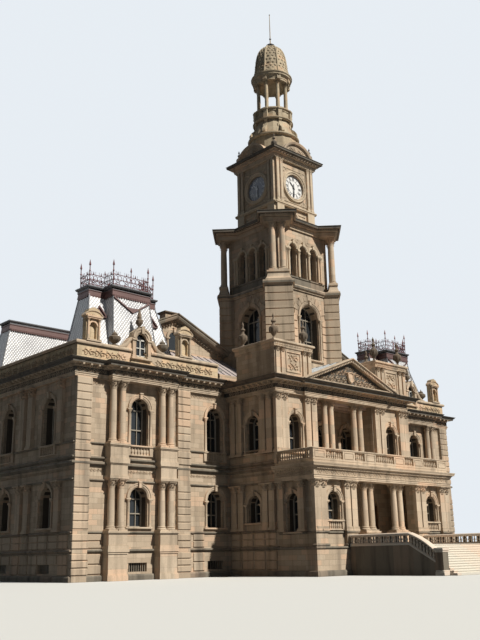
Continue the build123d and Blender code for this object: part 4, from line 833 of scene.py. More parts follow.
finish_piece("ledge_carving", bm, dressed, smooth=True)


# Parapets over the wing cornice: a low wall with a moulded coping that sweeps up to the dormers, and
# carved panels between plain dies.
def plate(bm, outline, depth, place=Matrix()):
    """Flat plate of the given outline; its face looks along local z at this depth."""
    corners = [bm.verts.new(place @ Vector((x, y, 0))) for x, y in outline]
    edges = [bm.edges.new(pair) for pair in zip(corners, corners[1:] + corners[:1])]
    back = bmesh.ops.edgeloop_fill(bm, edges=edges)["faces"]
    made = bmesh.ops.extrude_face_region(bm, geom=back)["geom"]
    bmesh.ops.translate(bm, verts=[item for item in made if isinstance(item, bmesh.types.BMVert)],
                        vec=place.to_3x3() @ Vector((0, 0, depth)))


dormer_half, wing_middle = 0.48, 8.275
front_pavilions = [at(side * pavilion_x, 0, 0) for side in (-1, 1)]
about = at(0, 2 * wing_middle, 0) @ Matrix.Rotation(math.pi, 4, "Z")
pavilions = front_pavilions + [about @ place for place in front_pavilions]

coping = against_wall((0.07, 0.0), (0.10, 0.04), (0.10, 0.09), (0.075, 0.13))
parapet_foot = against_wall((0.05, 0.0), (0.05, 0.07), (0.02, 0.10))
near_dormer, past_dormer = pavilion_x - dormer_half, pavilion_x + dormer_half
parapet_runs = [[(5.05, wing_front), (near_dormer, wing_front)],
                [(past_dormer, wing_front), (wing_side, wing_front), (wing_side, wing_back),
                 (past_dormer, wing_back)]]
parapet_runs += [flipped(path) for path in parapet_runs] + [symmetric([(near_dormer, wing_back)])]
panel_foliage = scroll_pattern(0.52, 0.30, 0.03)
bm = bmesh.new()
for path in parapet_runs:
    moulding(bm, path, coping, at(0, 0, 8.84))
    moulding(bm, path, parapet_foot, at(0, 0, 8.20))
    stamp(bm, panel_foliage, [face @ at(0, -0.01, 8.56) for face in spaced(path, 0.56, 0.25)])
swept_coping = ((0.03, -0.25), (0.03, 0.10), (-0.06, 0.10), (-0.10, 0.07), (-0.10, 0.01), (-0.60, 0.01),
                (-0.60, -0.25))
sweep = [(-0.47, 9.42), (-0.56, 9.40), (-0.66, 9.28), (-0.78, 9.12), (-0.95, 9.02), (-1.15, 8.96)]
for flip in (1, -1):
    path = [(flip * x, z) for x, z in sweep]
    one = bmesh.new()
    moulding(one, path if flip > 0 else path[::-1], swept_coping, facing(0, wing_front, 0) @ upright)
    stamp(bm, keep_mesh(one), pavilions)
finish_piece("parapet_trim", bm, dressed, smooth=True)

# Urns of dark stone: tall ones in tiers on the attic blocks, squat ones on the parapets and small
# ones on the dormers and on the corners of the clock cornice.
tall_urn = turned(((0.0, 0.0), (0.60, 0.0), (0.60, 0.05), (0.32, 0.09), (0.24, 0.15), (0.48, 0.21),
                   (0.86, 0.32), (1.0, 0.42), (0.96, 0.46), (0.62, 0.50), (0.34, 0.56), (0.30, 0.62),
                   (0.55, 0.67), (0.50, 0.71), (0.22, 0.75), (0.15, 0.81), (0.30, 0.86), (0.24, 0.91),
                   (0.08, 0.95), (0.03, 1.0), (0.0, 1.0)), 14)
squat_urn = turned(((0.0, 0.0), (0.72, 0.0), (0.72, 0.07), (0.36, 0.13), (0.30, 0.20), (0.72, 0.30),
                    (1.0, 0.46), (1.0, 0.58), (0.74, 0.64), (0.42, 0.70), (0.52, 0.75), (0.40, 0.82),
                    (0.14, 0.88), (0.05, 1.0), (0.0, 1.0)), 14)
urn_lobe = turned(((0.0, -1.0), (0.55, -0.6), (0.75, 0.0), (0.55, 0.6), (0.0, 1.0)), 6)
clock_cornice_top, attic_top, coping_top, dormer_head = 20.55, 9.60, 8.97, 9.876

# Foot of each urn, then its height, its widest radius and its shape
urn_spots = [(side * x, y, attic_top, 1.25, 0.20, tall_urn) for side in (-1, 1)
             for x, y in ((4.29, 0.21), (2.46, 0.21), (4.29, 2.14))]
urn_spots += [(side * 1.31, tower_y + end * 1.31, clock_cornice_top, 0.95, 0.15, tall_urn)
              for side in (-1, 1) for end in (-1, 1)]
urn_spots += [(side * x, wing_front + 0.125, coping_top, 0.69, 0.24, squat_urn)
              for side in (-1, 1) for x in (7.95, 10.35)]
urn_spots += [(*(place @ Vector((0, 3.20, dormer_head - 0.02))), 0.92, 0.15, tall_urn) for place in pavilions]
bm = bmesh.new()
for x, y, z, height, radius, shape in urn_spots:
    place = at(x, y, z)
    stamp(bm, shape, [place @ sized(radius, radius, height)])
    widest = height * (0.38 if shape is tall_urn else 0.46)
    stamp(bm, urn_lobe, [place @ Matrix.Rotation(math.tau * step / 8, 4, "Z")
                         @ at(0.86 * radius, 0, widest)
                         @ sized(0.24 * radius, 0.24 * radius, 0.12 * height) for step in range(8)])
urn_stone = stone("urn_stone", (0.20, 0.17, 0.13), (0.12, 0.10, 0.08), (0.03, 0.027, 0.024), course=3.0,
                  length=3.0, joint=0.0, streaks=0.6, stains=0.7)
finish_piece("urn_set", bm, urn_stone, "roof_urns", slot="urn_stone", smooth=True)

# Stone dormers: a round-headed light between small pilasters under a broad arch with a keystone, and
# beside them the aedicules, niches between little columns under a segmental head.
dormer_arch = ((0.0, -0.04), (0.0, 0.05), (0.05, 0.07), (0.06, 0.10), (0.15, 0.10), (0.16, 0.13),
               (0.225, 0.13), (0.235, -0.04))
one = bmesh.new()
dormer_place = facing(0, 3.05, 0)
moulding(one, arch_path(0.245, 9.41, 9.42)[1:-1], dormer_arch, dormer_place @ upright)
for side in (-1, 1):
    add_block(one, mirrored(side, 0.26, 0.49), (2.93, 3.06), (9.33, 9.42), 0.012)
    add_block(one, mirrored(side, 0.29, 0.46), (2.97, 3.06), (8.72, 9.33), 0.012)
    add_block(one, mirrored(side, 0.26, 0.49), (2.95, 3.06), (8.62, 8.72), 0.012)
add_block(one, (-0.08, 0.08), (2.88, 3.10), (9.63, 9.96), 0.012)
add_block(one, (-0.14, 0.14), (3.04, 3.36), (9.84, 9.92), 0.012)
add_block(one, (-0.52, 0.52), (2.94, 3.06), (8.55, 8.63), 0.015)
bm = stamped(keep_mesh(one), pavilions)
niche_arch = ((0.0, -0.02), (0.0, 0.03), (0.06, 0.03), (0.07, -0.02))
head_arch = ((0.0, -0.25), (0.0, 0.02), (0.03, 0.05), (0.07, 0.09), (0.09, 0.09), (0.09, -0.25))
head_turns = [math.pi * step / 8 for step in range(9)]
for place in [pavilion @ at(shift, 0, 0) for pavilion in front_pavilions for shift in (-2.30, 2.30)]:
    face = place @ facing(0, wing_front, 0)
    moulding(bm, arch_path(0.16, 9.61, 9.62, 8)[1:-1], niche_arch, face @ upright)
    rise = [(0.33 * math.cos(turn), 9.98 + 0.17 * math.sin(turn)) for turn in head_turns]
    moulding(bm, rise, head_arch, face @ upright)
    for side in (-1, 1):
        add_column(bm, face @ at(side * 0.25, -0.05, 0), 9.06, 9.90, 0.045)
    for level, grow in ((8.98, 0.06), (9.90, 0.04), (9.95, 0.07)):
        add_cube(bm, face @ at(0, 0.02, level + 0.03) @ sized(0.64 + grow, 0.18 + 2 * grow, 0.06))
    for step in range(5):
        turn = math.radians(30 + 30 * step)
        stamp(bm, urn_lobe, [face @ at(0.17 * math.cos(turn), -0.05, 10.0 + 0.09 * math.sin(turn))
                             @ Matrix.Rotation(math.pi / 2 - turn, 4, "Y") @ sized(0.025, 0.02, 0.05)])
finish_piece("dormer_stone", bm, dressed, smooth=True)
yellow_stone = stone("sandstone_yellow", (0.67, 0.545, 0.37), (0.50, 0.39, 0.255), (0.10, 0.08, 0.055))
paint_node("wing_parapet", yellow_stone)
paint_node("dormers", yellow_stone)
dormer_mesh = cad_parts["dormers"].data
dormer_mesh.materials.append(urn_stone)
for face in dormer_mesh.polygons:
    if face.center.z > dormer_head and abs(abs(face.center.x) - pavilion_x) < 0.25:
        face.material_index = len(dormer_mesh.materials) - 1

one = bmesh.new()
plate(one, [(x, z - 8.70) for x, z in arch_path(0.262, 8.70, 9.42, 8)], 0.02,
      at(0, 3.19, 8.70) @ upright)
finish_piece("dormer_lights", stamped(keep_mesh(one), pavilions), glass, slot="window_glass")
one = bmesh.new()
add_block(one, (-0.262, 0.262), (3.12, 3.17), (9.38, 9.44))
add_block(one, (-0.262, 0.262), (3.12, 3.17), (8.70, 8.76))
for x in (-0.245, 0.0, 0.245):
    add_block(one, span(x, 0.022), (3.12, 3.165), (8.70, 9.42))
add_block(one, (-0.24, 0.24), (3.13, 3.16), (9.05, 9.09))
white_paint = plain_paint("white_paint", (0.62, 0.60, 0.55), 0.45)
finish_piece("dormer_sashes", stamped(keep_mesh(one), pavilions), white_paint, slot="door_wood")


# Mansard roofs: timber slopes hung with diamond tiles of pale grey zinc, with studded hip rolls, a
# pressed valance under the curb, a pointed apron on the bay and small triangular vents.
def slope_frame(left, right, top):
    """Frame of a sloping face: x from its lower left to its lower right corner, y up the slope."""
    along = (right - left).normalized()
    out = along.cross(top - left).normalized()
    return Matrix.Translation(left) @ Matrix((along, out.cross(along), out)).transposed().to_4x4()


def tile_slope(bm, corners, width=0.14, height=0.18, lift=0.012, clear=0.004):
    """Hang diamond tiles on a sloping face, given by its corners from the lower left round."""
    corners = [Vector(corner) for corner in corners]
    place = slope_frame(corners[0], corners[1], corners[-1])
    flat = [place.inverted() @ corner for corner in corners]
    middle = sum(flat, Vector()) / len(flat)
    count = 2 + 2 * math.ceil(max(abs((c - middle).x) / width + abs((c - middle).y) / height for c in flat))
    sheet = bmesh.new()
    centre_mark = sheet.verts.layers.float.new("tile")
    bmesh.ops.create_grid(sheet, x_segments=count, y_segments=count, size=count / 2,
                          matrix=Matrix.Translation(middle) @ sized(width, height, 1)
                          @ Matrix.Rotation(math.pi / 4, 4, "Z") @ Matrix.Scale(math.sqrt(0.5), 4))
    for start, end in zip(flat, flat[1:] + flat[:1]):
        run = end - start
        bmesh.ops.bisect_plane(sheet, geom=sheet.verts[:] + sheet.edges[:] + sheet.faces[:], plane_co=start,
                               plane_no=(run.y, -run.x, 0), clear_outer=True)
    centres = bmesh.ops.poke(sheet, faces=sheet.faces, offset=lift)["verts"]
    for centre in centres:
        centre[centre_mark] = 1.0
    rim = bmesh.ops.extrude_edge_only(sheet, edges=[edge for edge in sheet.edges if edge.is_boundary])["geom"]
    bmesh.ops.translate(sheet, verts=[item for item in rim if isinstance(item, bmesh.types.BMVert)],
                        vec=(0, 0, -2 * clear))
    bmesh.ops.edgeloop_fill(sheet, edges=[edge for edge in sheet.edges if edge.is_boundary])
    bmesh.ops.translate(sheet, verts=sheet.verts, vec=(0, 0, clear))
    bmesh.ops.transform(sheet, matrix=place, verts=sheet.verts)
    mesh = bpy.data.meshes.new("pattern")
    sheet.to_mesh(mesh)
    sheet.free()
    bm.from_mesh(mesh)
    bpy.data.meshes.remove(mesh)


def tile_metal(name, light, dark, joint_color, roughness=0.5, metallic=0.25):
    """Weathered roof tiles: a tone in clouds, dirt in the joints between them and rain streaks."""
    material, tree, shader = new_material(name)
    worn = group_node(tree, weather_group, Size=1.2)
    mark = add_node(tree, "Attribute", attribute_name="tile").outputs["Fac"]
    joint = add_node(tree, "MapRange",
                     {"Value": mark, "From Min": 0.06, "From Max": 0.26, "To Min": 1.0, "To Max": 0.0})
    color = blend_color(tree, worn.outputs["Stains"], (*light, 1), (*dark, 1))
    color = blend_color(tree, scaled(tree, worn.outputs["Streaks"], 0.4), color, (*dark, 1))
    color = blend_color(tree, scaled(tree, joint.outputs[0], 0.8), color, (*joint_color, 1))
    finish_look(tree, shader, color, roughness, worn.outputs["Grain"], 0.003, 0.4, metallic)
    return material


def bar(bm, start, end, radius, sides=6):
    """Round bar from start to end."""
    start, end = Vector(start), Vector(end)
    turn = (end - start).to_track_quat("Z", "Y").to_matrix().to_4x4()
    bmesh.ops.create_cone(bm, segments=sides, cap_ends=True, radius1=radius, radius2=radius,
                          depth=(end - start).length, matrix=Matrix.Translation((start + end) / 2) @ turn)


eaves, crown = 8.20, 11.60
low_corner, high_corner = {}, {}
for kind, low, high in (("main", (2.30, 3.50), (1.64, 4.50)), ("nook", (1.15, 3.50), (0.89, 4.50)),
                        ("bay", (1.15, 3.35), (0.89, 3.85)), ("back", (2.30, 5.45), (1.64, 5.20))):
    for side in (-1, 1):
        low_corner[side, kind] = (side * low[0], low[1], eaves)
        high_corner[side, kind] = (side * high[0], high[1], crown)
left_kinds = ("back", "main", "nook", "bay")
turning = [(-1, kind) for kind in left_kinds] + [(1, kind) for kind in reversed(left_kinds)]
bm = bmesh.new()
bm.verts.layers.float.new("tile")
for left, right in zip(turning, turning[1:] + turning[:1]):
    tile_slope(bm, [low_corner[left], low_corner[right], high_corner[right], high_corner[left]])
tiles = bpy.data.meshes.new("pattern")
bm.to_mesh(tiles)
bm.free()
bm = bmesh.new()
bm.verts.layers.float.new("tile")
stamp(bm, tiles, pavilions)
zinc = tile_metal("zinc_tiles", (0.60, 0.60, 0.60), (0.40, 0.40, 0.41), (0.16, 0.15, 0.16))
finish_piece("mansard_tiles", bm, zinc, slot="roof_slate")
lead = plain_paint("lead_sheet", (0.16, 0.16, 0.17), 0.55, 0.3, 0.4, 12.0)
paint_node("mansard_roofs", lead)

one = bmesh.new()
for side, kind in turning:
    if kind != "nook":
        start, end = Vector(low_corner[side, kind]), Vector(high_corner[side, kind])
        bar(one, start, end, 0.035)
        studs = [start.lerp(end, (step + 0.5) / 12) for step in range(12)]
        stamp(one, urn_lobe, [Matrix.Translation(stud) @ Matrix.Scale(0.055, 4) for stud in studs])
finish_piece("mansard_hips", stamped(keep_mesh(one), pavilions), lead, slot="roof_lead", smooth=True)

# The curb on top of the slopes: a dark moulded gutter with a pale fillet
crown_path = [high_corner[key][:2] for key in turning]
curb = ((-0.04, -0.02), (0.05, -0.02), (0.09, 0.02), (0.09, 0.07), (0.13, 0.10), (0.16, 0.14), (0.16, 0.18),
        (-0.04, 0.18))
one = bmesh.new()
moulding(one, crown_path, curb, at(0, 0, crown), closed=True)
finish_piece("mansard_curbs", stamped(keep_mesh(one), pavilions), lead, slot="roof_lead")

# Valance, apron and vents in brown-red pressed metal
one = bmesh.new()
valance = ((-0.05, -0.27), (0.085, -0.27), (0.095, -0.22), (0.085, -0.20), (0.07, -0.05), (0.09, -0.03),
           (0.09, 0.0), (-0.05, 0.0))
moulding(one, crown_path, valance, at(0, 0, crown), closed=True)
disc = turned(((0.0, -0.012), (0.055, -0.012), (0.055, 0.012), (0.0, 0.012)), 8)
stamp(one, disc, [face @ at(0, -0.082, crown - 0.27) @ upright
                  for face in spaced(crown_path, 0.115, 0.0, True)])
bay_corners = low_corner[-1, "bay"], low_corner[1, "bay"], high_corner[-1, "bay"]
bay_slope = slope_frame(*[Vector(corner) for corner in bay_corners])
drop_line = bay_slope @ at(1.15, 3.16, 0.0)
arc = [(0.80 * math.cos(math.pi * step / 10), -0.42 * math.sin(math.pi * step / 10)) for step in range(11)]
plate(one, [(-0.89, 0.0), (-0.89, -0.06), (0.0, -0.62), (0.89, -0.06), (0.89, 0.0)] + arc, 0.045, drop_line)
apron_rim = ((-0.03, 0.0), (-0.03, 0.07), (0.03, 0.07), (0.03, 0.0))
moulding(one, [(-0.90, -0.05), (0.0, -0.62), (0.90, -0.05)], apron_rim, drop_line)
for side in (-1, 1):
    left, right = ((side, "main"), (side, "nook"))[::-side]
    corners = [Vector(corner) for corner in (low_corner[left], low_corner[right], high_corner[left])]
    vent = slope_frame(*corners) @ at(0.98 if side < 0 else 0.17, 2.30, 0)
    hood = ((0.0, 0.0), (0.0, 0.10), (0.035, 0.12), (0.05, 0.12), (0.05, 0.0))
    moulding(one, [(0.25, 0.0), (0.0, 0.42), (-0.25, 0.0)], hood, vent)
    moulding(one, [(-0.27, 0.0), (0.27, 0.0)], hood, vent)
    plate(one, [(-0.24, 0.02), (0.24, 0.02), (0.0, 0.40)], 0.03, vent)
pressed_paint = plain_paint("pressed_metal_paint", (0.13, 0.065, 0.058), 0.5, 0.2, 0.5, 16.0)
finish_piece("mansard_valances", stamped(keep_mesh(one), pavilions), pressed_paint, slot="roof_lead")

# Iron cresting: posts with spikes, three rails and scrolled panels between them
iron = plain_paint("cresting_iron", (0.15, 0.055, 0.055), 0.5, 0.5, 0.4, 20.0)
ring = turned(((0.085, -0.008), (0.10, -0.008), (0.10, 0.008), (0.085, 0.008), (0.085, -0.008)), 10)
one = bmesh.new()
for flip in (-1, 1):
    bar(one, (flip * 0.19, 0, 0.08), (-flip * 0.19, 0, 0.30), 0.011, 4)
    bar(one, (flip * 0.10, 0, 0.52), (flip * 0.10, 0, 0.68), 0.009, 4)
    stamp(one, ring, [at(flip * 0.095, 0, 0.40) @ upright])
stamp(one, ring, [at(0, 0, 0.19) @ upright])
bmesh.ops.create_cone(one, segments=4, cap_ends=True, radius1=0.04, radius2=0.0, depth=0.16,
                      matrix=at(0, 0, 0.62))
iron_panel = keep_mesh(one)
one = bmesh.new()
bar(one, (0, 0, 0.0), (0, 0, 1.0), 0.020, 6)
bmesh.ops.create_cone(one, segments=6, cap_ends=True, radius1=0.05, radius2=0.0, depth=0.26,
                      matrix=at(0, 0, 1.10))
for level in (0.55, 0.72, 0.97):
    bmesh.ops.create_icosphere(one, subdivisions=1, radius=0.045, matrix=at(0, 0, level))
iron_post = keep_mesh(one)
one = bmesh.new()
for level in (0.08, 0.30, 0.52):
    moulding(one, crown_path, ((-0.012, 0.0), (0.012, 0.0), (0.012, 0.024), (-0.012, 0.024)),
             at(0, 0, crown + 0.18 + level), closed=True)
stamp(one, iron_panel, [face @ at(0, 0, crown + 0.18) for face in spaced(crown_path, 0.42, 0, True)])
for x, y in crown_path:
    stamp(one, iron_post, [at(x, y, crown + 0.15)
                           @ Matrix.Scale(1.0 if abs(x) > 1 or y < 4 else 0.7, 4)])
for start, end in zip(crown_path, crown_path[1:] + crown_path[:1]):
    middle = (Vector(start) + Vector(end)) / 2
    if (Vector(end) - Vector(start)).length > 1.5:
        stamp(one, iron_post, [at(middle.x, middle.y, crown + 0.15) @ Matrix.Scale(0.85, 4)])
bm = stamped(keep_mesh(one), front_pavilions)
finish_piece("iron_cresting", bm, iron, "roof_cresting", slot="cresting_iron")

# Link roofs: stone gables under heavy rakes, slopes of brown tiles, a low lead roof before the front
# gables with a glazed light in it, and a stone stack with a dark cap.
link_x, gable_y, gable_half, link_eaves, link_ridge = 5.55, 5.50, 2.95, 10.30, 11.60
link_back = 2 * wing_middle - gable_y
gables = [facing(side * link_x, y, turn) for y, turn in ((gable_y, 0), (link_back, 180)) for side in (-1, 1)]
rake_foot, rake_fall = (gable_half + 0.2, link_eaves - 0.088), 0.4407
rake_line = [rake_foot, (0, link_ridge), (-rake_foot[0], rake_foot[1])]
rake_profile = ((-0.22, -0.05), (-0.22, 0.05), (-0.14, 0.09), (-0.12, 0.30), (-0.04, 0.34), (0.02, 0.34),
                (0.05, 0.39), (0.10, 0.39), (0.10, -0.05))
bm = bmesh.new()
for gable in gables:
    moulding(bm, rake_line, rake_profile, gable @ upright)
    for step in range(-17, 18):
        x = 0.16 * step
        stamp(bm, dentil, [gable @ at(x, -0.06, link_ridge - 0.36 - rake_fall * abs(x))])
for side in (-1, 1):
    for x in (side * link_x - gable_half, side * link_x + gable_half):
        add_block(bm, span(x, 0.12), (gable_y - 0.2, link_back + 0.2), (link_eaves - 0.14, link_eaves - 0.02),
                  0.02)
finish_piece("gable_rakes", bm, ledge_stone)
finish_piece("gable_window_stone", stamped(window_stone(0.29, 9.95, 10.55), gables), dressed, smooth=True)
one = bmesh.new()
plate(one, arch_path(0.285, 9.95, 10.55, 8), 0.012, upright)
finish_piece("gable_lights", stamped(keep_mesh(one), gables), glass, slot="window_glass")

bm = bmesh.new()
bm.verts.layers.float.new("tile")
for side in (-1, 1):
    x = side * link_x
    for flip in (-1, 1):
        start, end = (gable_y, link_back)[::flip]
        tile_slope(bm, [(x + flip * gable_half, start, link_eaves), (x + flip * gable_half, end, link_eaves),
                        (x, end, link_ridge), (x, start, link_ridge)], 0.20, 0.25, 0.014)
brown_tiles = tile_metal("brown_roof_tiles", (0.20, 0.11, 0.09), (0.12, 0.07, 0.06), (0.04, 0.03, 0.03),
                         0.7, 0.0)
finish_piece("link_roof_tiles", bm, brown_tiles, slot="roof_slate")
bm = bmesh.new()
for side in (-1, 1):
    bar(bm, *[(side * link_x, y, link_ridge + 0.03) for y in (gable_y - 0.3, link_back + 0.3)], 0.06, 8)
    for step in range(12):
        x = side * (2.60 + 0.382 * step)
        bar(bm, (x, 3.60, 8.715), (x, 5.50, 9.915), 0.018, 6)
finish_piece("link_roof_rolls", bm, lead, slot="roof_lead", smooth=True)

# The glazed light in the low roof
slope = slope_frame(Vector((-6.1, 3.60, 8.70)), Vector((-4.0, 3.60, 8.70)), Vector((-6.1, 5.50, 9.90)))
panes, bars = bmesh.new(), bmesh.new()
for side in (-1, 1):
    place = slope if side < 0 else at(10.1, 0, 0) @ slope
    plate(panes, ((0.0, 0.45), (2.1, 0.45), (2.1, 1.45), (0.0, 1.45)), 0.03, place)
    for x in (0.0, 0.42, 0.84, 1.26, 1.68, 2.1):
        plate(bars, ((x - 0.02, 0.40), (x + 0.02, 0.40), (x + 0.02, 1.50), (x - 0.02, 1.50)), 0.06, place)
    for y in (0.40, 1.46):
        plate(bars, ((-0.03, y), (2.13, y), (2.13, y + 0.05), (-0.03, y + 0.05)), 0.065, place)
finish_piece("roof_light_panes", panes, glass, slot="window_glass")
finish_piece("roof_light_bars", bars, white_paint, slot="door_wood")


def by_slope(name, upright_stone, covering):
    """Stone on the upright faces of a node and a roof covering on its sloping ones."""
    material = upright_stone.copy()
    material.name = name
    tree = material.node_tree
    shader = tree.nodes["Principled BSDF"]
    facing_up = add_node(tree, "SeparateXYZ", {0: add_node(tree, "NewGeometry").outputs["True Normal"]})
    sloping = add_node(tree, "Math", {0: facing_up.outputs["Z"], 1: 0.2}, operation="GREATER_THAN")
    stone_color = shader.inputs["Base Color"].links[0].from_socket
    tone = blend_color(tree, sloping.outputs[0], stone_color, (*covering, 1))
    tree.links.new(tone, shader.inputs["Base Color"])
    return material


paint_node("link_roofs", by_slope("gable_stone_and_lead", ashlar, (0.36, 0.31, 0.30)))
bm = bmesh.new()
for side in (-1, 1):
    for y in (6.10, 2 * wing_middle - 6.10):
        stack = at(side * 5.40, y, 0)
        moulding(bm, symmetric([(0.35, -0.225), (0.35, 0.225)]),
                 against_wall((0.04, 0.0), (0.07, 0.03), (0.09, 0.05), (0.09, 0.10)),
                 stack @ at(0, 0, 11.84), closed=True)
finish_piece("stack_caps", bm, urn_stone, slot="urn_stone")

# Lower stage of the tower: banded masonry on the diagonal corner piers and beside the arches, wedge
# stones round every arch and a moulded string course on top.
pier_corner = [(tower_half, 1.145), (2.496, 1.626), (1.626, 2.496), (1.145, tower_half)]
quarters = [at(0, tower_y, 0) @ Matrix.Rotation(math.radians(turn), 4, "Z") for turn in (0, 90, 180, 270)]


def round_tower(corner):
    """Closed path round the tower that repeats the plan of one corner."""
    return [(quarter @ Vector((x, y, 0))).to_2d() for quarter in quarters for x, y in corner]


band_pitch, band_foot, string_foot, tower_spring = 0.386, 8.755, 13.0, 11.75
band = against_wall((0.03, 0.02), (0.045, 0.035), (0.045, 0.351), (0.03, 0.366))
one = bmesh.new()
for step in range(11):
    moulding(one, pier_corner, band, at(0, 0, band_foot + band_pitch * step))
bm = stamped(keep_mesh(one), quarters)
one = bmesh.new()
for step in range(8):
    low = band_foot + band_pitch * step
    for side in (-1, 1):
        add_block(one, mirrored(side, 0.86, 1.16), (-0.04, 0.02), (low + 0.02, low + 0.366), 0.012)
for step in range(11):
    start, end = (math.pi * (step + nudge) / 11 for nudge in (0.05, 0.95))
    reach = 1.16 if step % 2 else 1.06
    corners = [(radius * math.cos(turn), radius * math.sin(turn))
               for turn, radius in ((start, 0.84), (start, reach), (end, reach), (end, 0.84))]
    plate(one, corners, 0.045, at(0, 0, tower_spring) @ upright)
stamp(bm, keep_mesh(one), tower_faces)
finish_piece("tower_banding", bm, rustic_stone)

string_profile = against_wall((0.03, -0.01), (0.03, 0.03), (0.07, 0.08), (0.075, 0.09), (0.14, 0.10),
                              (0.14, 0.19), (0.10, 0.25), (0.02, 0.26))
bm = bmesh.new()
moulding(bm, round_tower(pier_corner), string_profile, at(0, 0, string_foot), closed=True)
sill_slope = against_wall((0.16, 0.0), (0.16, 0.08), (0.05, 0.16), (0.04, 0.45), (0.08, 0.48), (0.08, 0.54),
                          weather=0.02)
belfry_foot, belfry_sill, belfry_spring, belfry_head, arch_pitch = 13.25, 13.80, 15.25, 16.25, 0.72
belfry_faces = four_sides(1.75)
for face in belfry_faces:
    moulding(bm, [(-1.45, 0), (1.45, 0)], sill_slope, face @ at(0, 0, belfry_foot))
finish_piece("tower_string", bm, ledge_stone)

# Belfry: three arches in each face on slender columns, coupled columns on flared pedestals across the
# corners, louvres deep in the arches and an entablature that follows every corner.
thin_arch = ((0.0, -0.02), (0.0, 0.035), (0.03, 0.05), (0.035, 0.065), (0.085, 0.065), (0.11, 0.03),
             (0.11, -0.02))
one = bmesh.new()
for offset in (-arch_pitch, 0, arch_pitch):
    head = [(x + offset, z) for x, z in arch_path(0.25, belfry_sill, belfry_spring, 10)[1:-1]]
    moulding(one, head, thin_arch, upright)
    for half, depth, low, high in ((0.045, 0.11, 15.48, 15.66), (0.065, 0.12, 15.66, 15.70)):
        add_block(one, span(offset, half), (-depth, 0.02), (low, high), 0.01)
    stamp(one, small_column, [at(offset, 0.20, belfry_sill) @ sized(0.028, 0.028, 1.42)])
shaft_radius = 0.055
for offset in (-1.22, -1.06, -0.36, 0.36, 1.06, 1.22):
    foot = at(offset, -0.07, belfry_sill)
    stamp(one, base_turned, [foot @ Matrix.Scale(shaft_radius, 4)])
    stamp(one, shaft_turned, [foot @ at(0, 0, 0.05) @ sized(shaft_radius, shaft_radius, 1.15)])
    stamp(one, capital, [foot @ at(0, 0, 1.19) @ sized(0.052, 0.052, 0.065)])
    for half, depth, low, high in ((0.10, 0.15, 15.13, 15.18), (0.085, 0.13, 15.18, belfry_spring)):
        add_block(one, span(offset, half), (-depth, 0.02), (low, high), 0.008)
for offset in (-0.36, 0.36):
    stamp(one, ring, [at(offset, -0.02, 15.72) @ upright @ Matrix.Scale(0.9, 4)])
pale_stone = stone("sandstone_pale", (0.68, 0.57, 0.43), (0.54, 0.44, 0.32), (0.13, 0.11, 0.085), course=3.0,
                   length=1.5, joint=0.003, streaks=0.35, stains=0.3)
finish_piece("belfry_arcades", stamped(keep_mesh(one), belfry_faces), pale_stone, smooth=True)

pedestal_flare = ((-0.2, 0.0), (0.05, 0.0), (0.05, 0.07), (0.0, 0.12), (-0.07, 0.36), (-0.06, 0.40),
                  (-0.02, 0.42), (-0.02, 0.50), (-0.2, 0.50))
pedestal_plan = symmetric([(0.25, -0.565), (0.25, 0.565)])
bm = bmesh.new()
for quarter in quarters:
    place = quarter @ Matrix.Rotation(math.pi / 4, 4, "Z") @ at(2.735, 0, 0)
    moulding(bm, pedestal_plan, pedestal_flare, place @ at(0, 0, belfry_foot), closed=True)
    add_cube(bm, place @ at(0, 0, belfry_foot + 0.24) @ sized(0.3, 0.9, 0.46))
    for offset in (-0.23, 0.23):
        add_column(bm, place @ at(0, offset, 0), 13.75, belfry_head, 0.15)
finish_piece("belfry_column_set", bm, dressed, "belfry_columns", smooth=True)
paint_node("belfry_louvres", plain_paint("louvre_paint", (0.07, 0.065, 0.06), 0.7, 0.0, 0.4, 14.0))

around_belfry = round_tower([(1.81, 0.94), (2.496, 1.626), (1.626, 2.496), (0.94, 1.81)])
belfry_cornice = against_wall((0.02, -0.006), (0.02, 0.06), (0.04, 0.065), (0.04, 0.12), (0.07, 0.14),
                              (0.07, 0.165), (0.02, 0.175), (0.02, 0.21), (0.16, 0.22), (0.16, 0.31),
                              (0.31, 0.325), (0.31, 0.40), (0.34, 0.44), (0.34, 0.456))
bm = bmesh.new()
moulding(bm, around_belfry, belfry_cornice, at(0, 0, belfry_head), closed=True)
stamp(bm, dentil, [face @ at(0, -0.155, belfry_head + 0.25)
                   for face in spaced(around_belfry, 0.12, 0.04, True)])
finish_piece("belfry_cornice", bm, dressed)


# Clock stage: plain dies under coupled corner pilasters, a round dial in an ornate moulded ring on
# each face, a bracketed cornice with curved pediments.
clock_half, clock_cornice_foot, dial_z = 1.35, 20.15, 18.85
clock_faces = four_sides(clock_half)


def circle_path(radius, middle=(0.0, 0.0), steps=28):
    """Closed round path."""
    turns = [math.tau * step / steps for step in range(steps)]
    return [(middle[0] + radius * math.cos(turn), middle[1] + radius * math.sin(turn)) for turn in turns]


